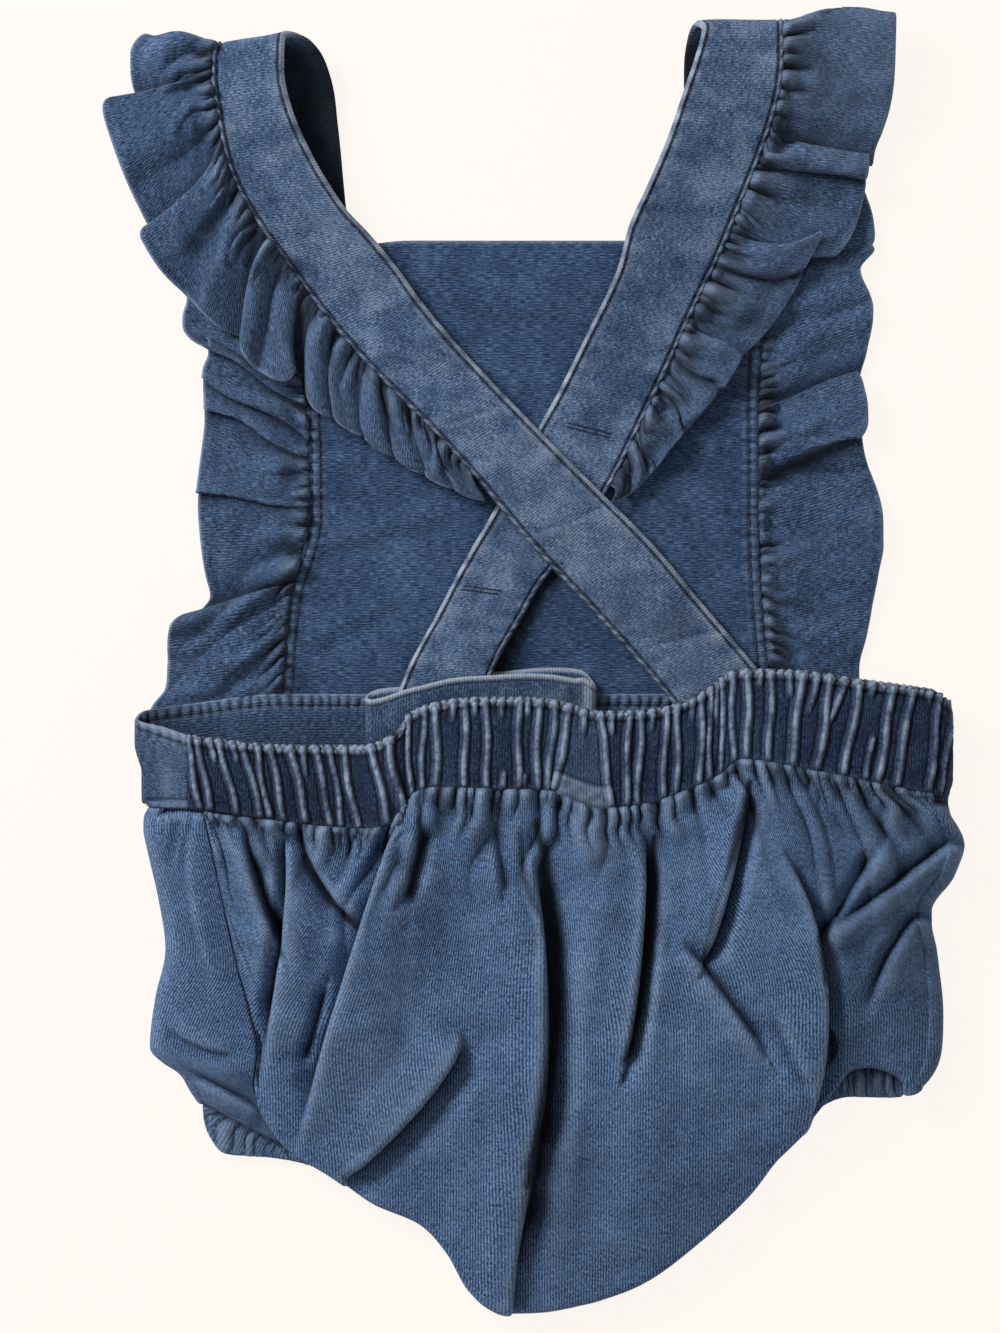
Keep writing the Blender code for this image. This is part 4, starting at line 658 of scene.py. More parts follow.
def tube(name, made, material):
    """Close a grid that runs round a section into one solid tube with flat ends."""
    ring = made[0]
    rows, columns = ring.shape[:2]
    number = np.arange(rows * columns).reshape(rows, columns)
    wrapped = np.concatenate((number, number[:, :1]), axis=1)
    faces = quads(wrapped[:-1, :-1], wrapped[1:, :-1], wrapped[1:, 1:], wrapped[:-1, 1:]).tolist()
    faces += [number[0].tolist(), number[-1, ::-1].tolist()]
    return woven(name, ring.reshape(-1, 3).copy(), faces, made, 1, material)


def stand_for(piece, node):
    """Attach a finished piece of cloth to the root and hide the part that it stands for."""
    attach(piece, "root")
    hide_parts(node)


# ---------------------------------------------------------------- materials

def linear(code):
    """Linear colour of an sRGB hex code."""
    parts = [int(code[i:i + 2], 16) / 255 for i in (1, 3, 5)]
    return tuple(c / 12.92 if c <= 0.04045 else ((c + 0.055) / 1.055) ** 2.4 for c in parts)


def add(tree, kind, links=None, **settings):
    """Add a node with its settings; links give its inputs a value or another node's output."""
    made = tree.nodes.new(kind)
    for key, value in settings.items():
        setattr(made, key, value)
    for key, value in (links or {}).items():
        if isinstance(value, bpy.types.NodeSocket):
            tree.links.new(value, made.inputs[key])
        else:
            made.inputs[key].default_value = value
    return made


def blank(name):
    """New material: itself, its node tree and its Principled shader."""
    material = bpy.data.materials.new(name)
    material.use_nodes = True
    return material, material.node_tree, material.node_tree.nodes["Principled BSDF"]


def give(shader, **settings):
    """Set inputs of a shader; an underscore stands for a space in an input's name."""
    for key, value in settings.items():
        shader.inputs[key.replace("_", " ")].default_value = value


def noise(tree, place, scale, detail, roughness=0.5):
    """Value of a noise texture."""
    return add(tree, "ShaderNodeTexNoise", {
        "Vector": place, "Scale": scale, "Detail": detail, "Roughness": roughness}).outputs["Fac"]


def figure(tree, operation, *values, clamp=False):
    """Result of a Math node."""
    return add(tree, "ShaderNodeMath", dict(enumerate(values)), operation=operation,
               use_clamp=clamp).outputs["Value"]


def reading(tree, key):
    """Value that the mesh carries under a name."""
    return add(tree, "ShaderNodeAttribute", attribute_name=key).outputs["Fac"]


def towards(tree, share, colour, code):
    """Colour mixed towards a hex colour by a share."""
    return add(tree, "ShaderNodeMix", {0: share, 6: colour, 7: (*linear(code), 1)},
               data_type="RGBA").outputs[2]


def ramp(tree, value, *stops):
    """Colour ramp node whose two ends are stops of a position and a hex colour."""
    made = add(tree, "ShaderNodeValToRGB", {"Fac": value})
    for element, (position, code) in zip(made.color_ramp.elements, stops):
        element.position, element.color = position, (*linear(code), 1)
    return made


def roughen(tree, shader, height, strength, distance):
    """Let a height tilt the surface that the shader lights."""
    rise = add(tree, "ShaderNodeBump",
               {"Height": height, "Strength": strength, "Distance": distance})
    tree.links.new(rise.outputs["Normal"], shader.inputs["Normal"])


YARN_WIDE = 0.00032            # width of a pale streak across the wales, in metres
TICK_SIZE = (0.0022, 0.0005)   # size of the short ticks across and along them
TICK_SHIFT = (3.7, 1.9, 0.0)
BLOTCH, CLOUD = 0.009, 0.045   # size of the wash's blotches and clouds
WAVE_PERIOD = 0.314            # the wave texture's period is 2 pi / 20 of its coordinate


def knit_denim(name, deep, body, pale, worn, wale_strength=0.12, streak_strength=0.9,
               mottle_strength=0.4, streak_length=3.5, tick_strength=0.4):
    """Washed knit denim: cotton jersey, indigo dyed, garment washed.

    The wales give fine lines about 0.8 mm apart, heathered yarn gives short pale streaks
    across them, the wash leaves soft blotches, and the dye is rubbed off on raised edges.
    """
    material, tree, shader = blank(name)
    place = add(tree, "ShaderNodeUVMap", uv_map="grain").outputs["UV"]
    wales = add(tree, "ShaderNodeTexWave", {
        "Vector": place, "Scale": WAVE_PERIOD / bpy.context.scene.romper_sizes.wale_pitch,
        "Distortion": 1.6, "Detail": 2.0, "Detail Scale": 2.0}, bands_direction="X").outputs["Fac"]
    stretch = add(tree, "ShaderNodeMapping", {
        "Vector": place, "Scale": (1 / YARN_WIDE, 1 / (streak_length * MM), 1.0)}).outputs["Vector"]
    streaks = noise(tree, stretch, 1.0, 3.0, 0.65)
    courses = add(tree, "ShaderNodeMapping", {
        "Vector": place, "Scale": (1 / TICK_SIZE[0], 1 / TICK_SIZE[1], 1.0),
        "Location": TICK_SHIFT}).outputs["Vector"]
    ticks = noise(tree, courses, 1.0, 2.0, 0.6)
    solid = add(tree, "ShaderNodeTexCoord").outputs["Object"]
    blotches = noise(tree, solid, 1 / BLOTCH, 4.0, 0.6)
    clouds = noise(tree, solid, 1 / CLOUD, 2.0)
    total = 0.5 - 0.5 * (wale_strength + streak_strength + tick_strength + 1.6 * mottle_strength)
    for source, strength in ((wales, wale_strength), (streaks, streak_strength),
                             (ticks, tick_strength), (blotches, mottle_strength),
                             (clouds, 0.6 * mottle_strength)):
        total = figure(tree, "MULTIPLY_ADD", source, strength, total)
    dyed = ramp(tree, total, (0.3, deep), (0.72, pale))
    dyed.color_ramp.elements.new(0.5).color = (*linear(body), 1)
    # Paler towards the worn colour where wear_and_highlight says: rubbed-off dye, and on one
    # ruffle's shoulder a painted highlight.
    rubbed = figure(tree, "MULTIPLY_ADD", streaks, 1.7, 0.1)
    rubbed = figure(tree, "MULTIPLY", reading(tree, "wear_and_highlight"), rubbed, clamp=True)
    worn_and_highlighted = towards(tree, rubbed, dyed.outputs["Color"], worn)
    # Painted shade: the colour is mixed towards near black where painted_shade says the cloth lies
    # in shade.
    painted_shade = figure(tree, "MULTIPLY", reading(tree, "painted_shade"), 0.93, clamp=True)
    tree.links.new(towards(tree, painted_shade, worn_and_highlighted, "#080c16"), shader.inputs["Base Color"])
    roughen(tree, shader, figure(tree, "MULTIPLY_ADD", wales, 0.6, streaks), 0.55, 0.00035)
    give(shader, Roughness=0.92, Specular_IOR_Level=0.2, Sheen_Weight=0.06, Sheen_Roughness=0.5)
    return material


def thread_material():
    """Spun polyester sewing thread, dyed navy: fine twist lines and a faint gloss."""
    material, tree, shader = blank("Spun polyester thread, navy")
    twist = noise(tree, add(tree, "ShaderNodeTexCoord").outputs["Object"], 1 / 0.0006, 2.0)
    tone = ramp(tree, twist, (0.3, "#0d1728"), (0.75, "#1f3150"))
    tree.links.new(tone.outputs["Color"], shader.inputs["Base Color"])
    roughen(tree, shader, twist, 0.4, 0.0001)
    give(shader, Roughness=0.6)
    return material


def material_for_thread():
    """The thread, made once."""
    return bpy.data.materials.get("Spun polyester thread, navy") or thread_material()


# Each cloth's colours (deep, body, pale, worn) and how strongly its knit and wash show.
DENIMS = {
    # Seat: clear wales and a mid blue body, so that its folds read.
    "Knit denim, seat": ("#1e314e #486690 #7b97bd #91a8c5", dict(
        wale_strength=0.27, streak_strength=1.25, mottle_strength=0.22, streak_length=1.0)),
    # Bib inside: darker, heathered in short streaks, with hardly any wales.
    "Knit denim, bib inside": ("#182a44 #344c70 #5f799c #8698b1", dict(
        wale_strength=0.04, streak_strength=1.2, mottle_strength=0.3, streak_length=2.4,
        tick_strength=0.2)),
    # Straps: the most washed, pale and blotchy.
    "Knit denim, strap": ("#233755 #476084 #8196b4 #a3afbf", dict(
        wale_strength=0.05, mottle_strength=0.6, streak_strength=1.2, streak_length=1.2)),
    # Shirred waistband: colours darker than the other denims', which paints the shade on the ground
    # between the ribs; the ribs are worn pale.
    "Knit denim, shirred": ("#101b30 #273a5a #4d678c #94a6bf", dict(
        wale_strength=0.05, mottle_strength=0.3, streak_strength=1.1, streak_length=1.3)),
    # Ruffles and front waistband: even mid blue.
    "Knit denim, ruffle": ("#1a2d48 #3b5376 #6981a3 #8a9db8", dict(
        mottle_strength=0.22, streak_strength=1.3, streak_length=1.8)),
}


def material_for(kind):
    """The romper's knit denims, each made once."""
    colours, settings = DENIMS[kind]
    return bpy.data.materials.get(kind) or knit_denim(kind, *colours.split(), **settings)


# ---------------------------------------------------------------- pieces

def bib_cloth():
    """Bib grid, with its topstitched sides."""
    width = np.linspace(0, 1, BIB_GRID[0])
    down = np.linspace(0, 1, BIB_GRID[1])[:, None]
    foot = BIB_SIDES["y"][0]
    side_top = [np.interp(BIB_SIDES[side][-1], BIB_TOP["x"], BIB_TOP["y"])
                for side in ("left", "right")]
    height = np.interp(width, (0, 1), side_top)
    y = height + (foot - BIB_TUCK - height) * down
    left = smooth_through(BIB_SIDES["y"], BIB_SIDES["left"], y)
    right = smooth_through(BIB_SIDES["y"], BIB_SIDES["right"], y)
    spread = width - 0.09 * np.sin(2 * math.pi * width)
    x = left + (right - left) * spread
    top = smooth_through(BIB_TOP["x"], BIB_TOP["y"], x)
    y = y + (top - height) * (1 - down) ** 2
    from_side = np.minimum(x - left, right - x)
    z = 0.9 + 0.12 * ripples(x, y, 34, 11) + creased(x, y, BIB_CREASES, 3.0)[2]
    z = z + 0.5 * (1 - ease(from_side, 3.8, 5.6))
    notch = 0.5 + 0.5 * np.sin(y * 2 * math.pi / 3.1 + 1.5 * ripples(y, 0, 15, 13))
    seam_roll = bump((from_side - 2.1) / 1.2)
    z = z + 0.45 * seam_roll * notch
    groove = 0.7 * bump((from_side - BIB_LINES[0]) / 0.6) + bump((from_side - BIB_LINES[1]) / 0.75)
    z = z - 0.35 * groove * (1.2 - 0.6 * notch)
    pucker = np.exp(-np.maximum(from_side - 4.5, 0) / 7.0) * ease(from_side, 0.5, 3.0)
    puckers = ripples(x * 0.35, y, 5.5, 12)
    z = z + 0.25 * pucker * puckers
    z = z - 0.32 * (1 - ease(y - foot, -0.5, 2.5))
    from_top = np.maximum(top - y, 0)
    z = z + 0.3 * bump((from_top - 0.6) / 1.4)
    wear_and_highlight = 0.45 * seam_roll * notch + 0.5 * bump(from_top / 1.2)
    wear_and_highlight = wear_and_highlight + 0.25 * bump((from_side - 4.7) / 0.9) * notch
    # Painted shade in the stitched grooves, at the very side edge and in the puckers' dents.
    painted_shade = ((0.9 - 0.55 * notch) * np.clip(groove, 0, 1) + 0.5 * (1 - ease(from_side, 0.2, 0.9))
             + 0.3 * pucker * np.clip(-puckers, 0, 1))
    # Painted shadow of the right strap's edge on the bib, with a broad painted shade round it.
    from_strap_shadow = beside(x, y, *BIB_STRAP_SHADOW)[0]
    painted_shade = (painted_shade + 1.1 * bump(np.clip(from_strap_shadow / 3.8, -1, 1))
             + 0.3 * bump(np.clip(from_strap_shadow / 16, -1, 1)))
    middle = stack(x, y, z)
    rows = []
    for inset in BIB_LINES:
        share = inset / (right - left)
        rows += [on_rows(middle, (x - left) / (right - left), s) for s in (share, 1 - share)]
    return (middle, (y, x), wear_and_highlight, painted_shade), rows


def on_rows(middle, shares, wanted, lift=0.55):
    """Points of a grid's rows at wanted shares of their width, lifted to the cloth's face."""
    points = np.stack([[np.interp(want, share, row[:, k]) for k in range(3)]
                       for row, share, want in zip(middle, shares, np.ravel(wanted))])
    return points + (0, 0, lift)


def strap_sections(rows, count):
    """Outer and inner edge of a strap at evenly spaced sections."""
    centre = [(rows["outer_" + axis] + rows["inner_" + axis]) / 2 for axis in "xy"]
    along = arc_lengths(*centre, rows["height"])
    at = np.linspace(0, along[-1], count)
    height = smooth_through(along, rows["height"], at)
    edges = []
    for side in ("outer", "inner"):
        x = smooth_through(along, rows[side + "_x"], at)
        y = smooth_through(along, rows[side + "_y"], at)
        edges.append(np.stack((x, y, height), axis=1))
    return at, edges[0], edges[1]


def strap_cloth(rows, tone_shift, seed):
    """Strap as a flat tube: its grid runs round the section, starting at the ruffle side.
    Tone_shift makes its colour paler where it is above nought and darker where it is below,
    first over the shoulder and then towards its foot."""
    at, outer, inner = strap_sections(rows, STRAP_SECTIONS)
    width = np.linalg.norm(inner - outer, axis=1)[:, None]
    steps = np.array(STRAP_STEPS)
    from_outer = np.r_[steps, np.full(len(steps), np.nan)][None, :]
    from_outer = np.where(np.isnan(from_outer), width - np.r_[steps, steps[::-1]][None, :],
                          from_outer)
    from_inner = width - from_outer
    share = from_outer / width
    across = unit(inner - outer)
    run = unit(np.gradient((outer + inner) / 2, axis=0))
    normal = unit(np.cross(run, across))
    if normal[0, 2] > 0:
        normal = -normal
    along = at[:, None]
    near_edge = np.minimum(np.minimum(from_outer, from_inner) / 0.9, 1)
    round_edge = np.sqrt(np.clip(1 - (1 - near_edge) ** 2, 0, 1))
    wave = ripples(along, 0.6 * from_outer, 26, seed)
    pucker = ripples(along, 0.25 * from_outer, 5.2, seed + 1)
    near_sewing = (np.exp(-np.maximum(from_inner - PIPING_LINE, 0) / 4)
                   + np.exp(-np.maximum(from_outer - RUFFLE_LINE, 0) / 4))
    groove = bump((from_inner - PIPING_LINE) / 0.65) + bump((from_outer - RUFFLE_LINE) / 0.65)
    cord = bump((from_outer - 0.85) / 0.85)
    twist = (0.5 + 0.5 * np.sin((along - 1.1 * from_outer) * 2 * math.pi / 3.9
                                + 1.6 * ripples(along, 0, 17, seed + 2)))
    lips = 0.45 * (1 - ease(from_inner, 0.75, 1.05))
    top = (STRAP_HALF * round_edge + 0.3 * np.sin(math.pi * share) + 0.24 * pucker * near_sewing
           - 0.5 * groove + cord * (0.15 + 0.55 * twist) - lips)
    low = -STRAP_HALF * round_edge
    middle = outer[:, None] + (inner - outer)[:, None] * share[..., None]
    middle = middle + normal[:, None] * (0.35 * wave * np.sin(math.pi * share))[..., None]
    face = middle + normal[:, None] * top[..., None]
    back = middle + normal[:, None] * low[..., None]
    _, _, crease = creased(face[..., 0], face[..., 1], STRAP_CREASES, 0.6)
    crease = (crease * ease(along, 0.4 * at[-1], 0.42 * at[-1])
              * ease(np.minimum(from_inner, from_outer), 1.0, 3.0))
    face[..., 2] += crease
    ring = np.concatenate((face, back[:, ::-1][:, 1:-1]), axis=1)
    rubbed = 0.8 + 0.3 * ripples(along, 0, 5, seed + 3)
    wear_and_highlight = (0.8 * rubbed * (1 - ease(from_inner, 0.95, 1.4)) + 0.4 * cord * twist
            + 0.2 * bump((from_inner - 2.9) / 0.8)
            + 0.14 * pucker * near_sewing + 0.35 * np.clip(crease, 0, 1))
    # Painted shade in the stitched grooves, in the creases' dips, at the ruffle side's edge and
    # between the cord's twists.
    painted_shade = (0.8 * np.clip(groove, 0, 1) + 0.8 * np.clip(-crease, 0, 1)
             + 0.7 * (1 - ease(from_outer, 0.1, 0.5))
             + 0.65 * cord * (1 - twist) ** 2 - 0.1 * pucker * near_sewing)
    # The front run inside the shoulder fold is painted near black, as the shade there, and kept
    # from paling.
    front_run = (ease(along, FRONT_RUN[0], FRONT_RUN[1])
                 * (1 - ease(along, FRONT_RUN[2], FRONT_RUN[3])))
    # Tone shift: the colour is made paler above nought and darker below, first over the shoulder
    # and then towards the foot.
    washed = tone_shift[0] + (tone_shift[1] - tone_shift[0]) * ease(along / at[-1], 0.5, 0.7)
    wear_and_highlight = wear_and_highlight + np.maximum(washed, 0)
    painted_shade = np.maximum(painted_shade + np.maximum(-washed, 0), 1.0 * front_run)
    wear_and_highlight = wear_and_highlight * (1 - 0.8 * front_run)
    wear_and_highlight = np.concatenate((wear_and_highlight, 0.3 * wear_and_highlight[:, ::-1][:, 1:-1]), axis=1)
    painted_shade = np.concatenate((painted_shade, painted_shade[:, ::-1][:, 1:-1]), axis=1)
    grain_across = np.concatenate((np.broadcast_to(along, from_outer.shape),) * 2,
                                  axis=1)[:, :ring.shape[1]]
    round_trip = np.concatenate((from_outer, (2 * width - from_outer[:, ::-1])[:, 1:-1] + 1.0),
                                axis=1)
    return (ring, (grain_across, round_trip), wear_and_highlight, painted_shade), face


def buttonhole_rows(face):
    """Two rows of thread round each buttonhole slit of the right strap."""
    rows = []
    for centre_y, start, end in zip(*BUTTONHOLES.values()):
        middle = face[:, face.shape[1] // 2, 1] + 1000.0 * (np.arange(len(face)) < 0.4 * len(face))
        near = int(np.argmin(np.abs(middle - centre_y)))
        for step in (-1, 1):
            section = face[near + step]
            share = arc_lengths(*section.T) / arc_lengths(*section.T)[-1]
            at = np.linspace(start, end, BUTTONHOLE_POINTS)
            rows.append(np.stack([np.interp(at, share, section[:, k]) for k in range(3)], axis=1)
                        + (0, 0, 0.1))
    return rows


def waist_path(rows, share):
    """Edges and height of a waistband at given shares of its length, and the distance."""
    along = arc_lengths(rows["x"], rows["height"])
    at = along[-1] * share
    path = {key: smooth_through(along, rows[key], at) for key in rows}
    path["along"] = at
    return path


def front_waistband_cloth():
    """Front waistband: its inner side, with the puckered seam along its top."""
    path = waist_path(FRONT_WAIST, np.linspace(0, 1, FRONT_WAIST_GRID[0]))
    down = np.linspace(0, 1, FRONT_WAIST_GRID[1])[:, None]
    depth = path["top"] - path["bottom"]
    y = path["top"] + (path["bottom"] - path["top"]) * down
    away = depth * down
    along = np.broadcast_to(path["along"], away.shape)
    pucker = np.sin(along * 2 * math.pi / 2.9 + 1.5 * ripples(along, away, 14, 21))
    seam = ease(away, 0.2, 1.2) * (1 - ease(away, 2.6, 5.6))
    ends = bump((away - depth + 0.8) / 1.5)
    foot_line = bump((away - depth + 2.6) / 0.8)
    turned = ease(path["height"], 6.0, 8.0)
    end = bump((path["x"] + 115.4) / 10) * ease(path["height"], 1.5, 4.0)
    x = path["x"] + 2.4 * end * ease(down, 0.3, 0.7) + 0.9 * end * ease(down, 0.9, 1.0)
    y = y - 0.9 * end * (1 - ease(down, 0.0, 0.12)) + 0.3 * end * ease(down, 0.88, 1.0)
    z = (path["height"] + 0.4 * (1 - turned) + (0.1 + 0.25 * pucker) * seam * (1 - turned)
         + 0.2 * pucker * np.exp(-away / 6))
    z = z - 0.4 * bump((away - 3.3) / 0.8) + 0.4 * ends * turned - 0.5 * foot_line * turned
    z = z + 0.25 * ripples(path["x"], y, 24, 22) * turned
    # A soft paler patch on the end piece.
    pale_patch = 0.3 * bump((path["x"] + 104.5) / 7) * (0.6 + 0.4 * ripples(along, away, 11, 24))
    wear_and_highlight = ((0.16 + 0.3 * pucker) * seam + 0.6 * bump(away / 0.8) * (1 - turned)
            + (0.95 * bump(away / 2.6) + pale_patch) * turned + 0.35 * ends * turned)
    # Painted shade in the groove below the seam, between its puckers, at the low far left, down the
    # end piece's left edge, along its foot line and over the inner side left of the keeper.
    painted_shade = (0.8 * bump((away - 2.9) / 0.7) + 0.45 * seam * np.clip(-pucker, 0, 1) * (1 - turned)
             + 0.6 * (1 - ease(path["height"], 1.0, 4.0)) * (1 - ease(path["x"] + 116, 4.0, 24.0))
             + 0.35 * turned * (1 - ease(path["x"] + 116, 1.0, 6.0)))
    painted_shade = painted_shade + 0.7 * foot_line * turned
    painted_shade = painted_shade + 0.34 * (1 - turned) * ease(-path["x"], 36, 60) * ease(away, 1, 9)
    return stack(x, y, z), (away, along), wear_and_highlight, painted_shade


def back_waistband_cloth():
    """Elastic back waistband: narrow worn ribs on cloth painted dark as the shade between them, and
    a rolled, puckered top.
    """
    path = waist_path(BACK_WAIST, np.linspace(0, 1, BACK_WAIST_GRID[0]))
    down = np.r_[0.0, 0.02, 0.045, np.linspace(0.07, 0.93, BACK_WAIST_GRID[1]), 0.96, 1.0][:, None]
    corner = bump((path["along"] - path["along"][np.argmax(path["x"])]) / 9)
    path["top"] = path["top"] - 3.2 * corner
    depth = path["top"] - path["bottom"]
    away = depth * down
    along = np.broadcast_to(path["along"], away.shape)
    edge = np.minimum(away, depth - away)
    flat_rows = UPPER_WAIST_ROWS + 1
    flat_x = BACK_WAIST["x"][:flat_rows]
    flat_along = arc_lengths(BACK_WAIST["x"], BACK_WAIST["height"])[:flat_rows]
    crest, crevice = np.zeros(away.shape), np.zeros(away.shape)
    for top_x, foot_x, start, stop, width in zip(*RIBS.values()):
        centre = np.interp(top_x + (foot_x - top_x) * down, flat_x, flat_along)
        offset = along - centre - 0.35 * np.sin(2.2 * np.pi * down + top_x)
        hold = ease(down, start - 0.04, start + 0.02) * (1 - ease(down, stop - 0.1, stop + 0.03))
        crest = np.maximum(crest, (0.42 * bump((offset + 0.3) / (1.35 * width))
                                   + 0.58 * bump(offset / (0.5 * width))) * hold)
        beside_rib = np.maximum(bump((offset - 0.8 * width - 0.4) / 0.9),
                                0.5 * bump((offset + 1.4 * width + 0.3) / 0.8))
        crevice = np.maximum(crevice, beside_rib * hold)
    crest = crest * ease(edge, 0.2, 1.8) * (0.85 + 0.2 * ripples(along, away, 7, 35))
    crevice = np.clip(crevice * (1 - crest), 0, 1)
    tab = np.interp(TAB_FOOT, flat_x, flat_along)
    fold = ease(along, tab[0], tab[0] + 1.2) * (1 - ease(along, tab[1] - 0.8, tab[1] + 0.4))
    tab = fold * ease(down, 0.765, 0.79)
    rope = (0.5 + 0.5 * np.sin((along + 1.3 * away) * 2 * math.pi / 2.15
                               + 1.2 * ripples(along, 0, 19, 33)))
    lying = ease(path["height"] + 20 * (path["x"] < 0), 3, 9)
    roll = bump((away - 1.0) / 1.55) * (0.3 + 0.7 * lying)
    foot = bump((depth - away - 0.7) / 1.5)
    z = path["height"] + 0.8 * np.sin(np.pi * down) * ease(path["height"], 4, 9)
    lift = (1.05 * crest - 0.5 * crevice + 0.5 * tab + roll * (0.4 + 1.0 * rope)
            + 0.5 * foot * (crest + 0.4)
            - 0.4 * bump((away - 2.7) / 0.7) * (1 - crest) + 0.12 * ripples(along, away, 5.5, 34))
    drawn_in = corner * (2.0 * (1 - ease(away, 0, 4.5)) ** 2 + 1.2 * ease(away, depth - 6, depth))
    middle = stack(path["x"] - drawn_in, path["top"] - away + 0.5 * roll * rope, z)
    middle = (middle + normals_of(middle, False) * ((lift + 0.9) * (0.2 + 0.8 * lying))[..., None]
              - (0, 0, 0.5))
    ticks = 0.85 + 0.25 * ripples(along, away, 2.4, 37)
    wear_and_highlight = (1.1 * np.clip(crest, 0, 1) ** 1.7 * ticks + roll * (0.75 + 0.9 * rope)
            + tab * (0.4 + 0.12 * ripples(along, away, 3.2, 36)) + 0.07 * fold + 0.12 * foot)
    wear_and_highlight = (wear_and_highlight * (1 - 0.35 * ease(path["x"], 98, 118))
            * (1 - 0.15 * (1 - ease(path["x"], -60, -50))))
    # Painted shade on the ground between the ribs, in the crevices beside them, in the groove below
    # the rolled top and between its knots, and a little more towards the left; the tab's two
    # stitched lines are darker.
    painted_shade = (0.42 * (1 - np.clip(crest, 0, 1)) ** 2 * (1 - roll) * (1 - fold)
             + 1.05 * crevice * (1 - 0.7 * tab)
             + 0.55 * bump((away - 3.0) / 0.8) * (1 - crest) + 0.5 * roll * (1 - rope) ** 2
             + 0.75 * (bump((down - 0.755) / 0.022) + bump((down - 0.975) / 0.03)) * fold)
    painted_shade = painted_shade + 0.12 * ease(path["x"], -100, -94) * (1 - ease(path["x"], -62, -52))
    return middle, (along, away), wear_and_highlight, painted_shade


def seat_columns(share):
    """Top and foot of the seat's columns at shares of the width up to the turn."""
    count = len(SEAT_COLUMNS["top_x"])
    row = share / SEAT_TURN * (count - 1)
    return {key: smooth_through(np.arange(count), SEAT_COLUMNS[key], row) for key in SEAT_COLUMNS}


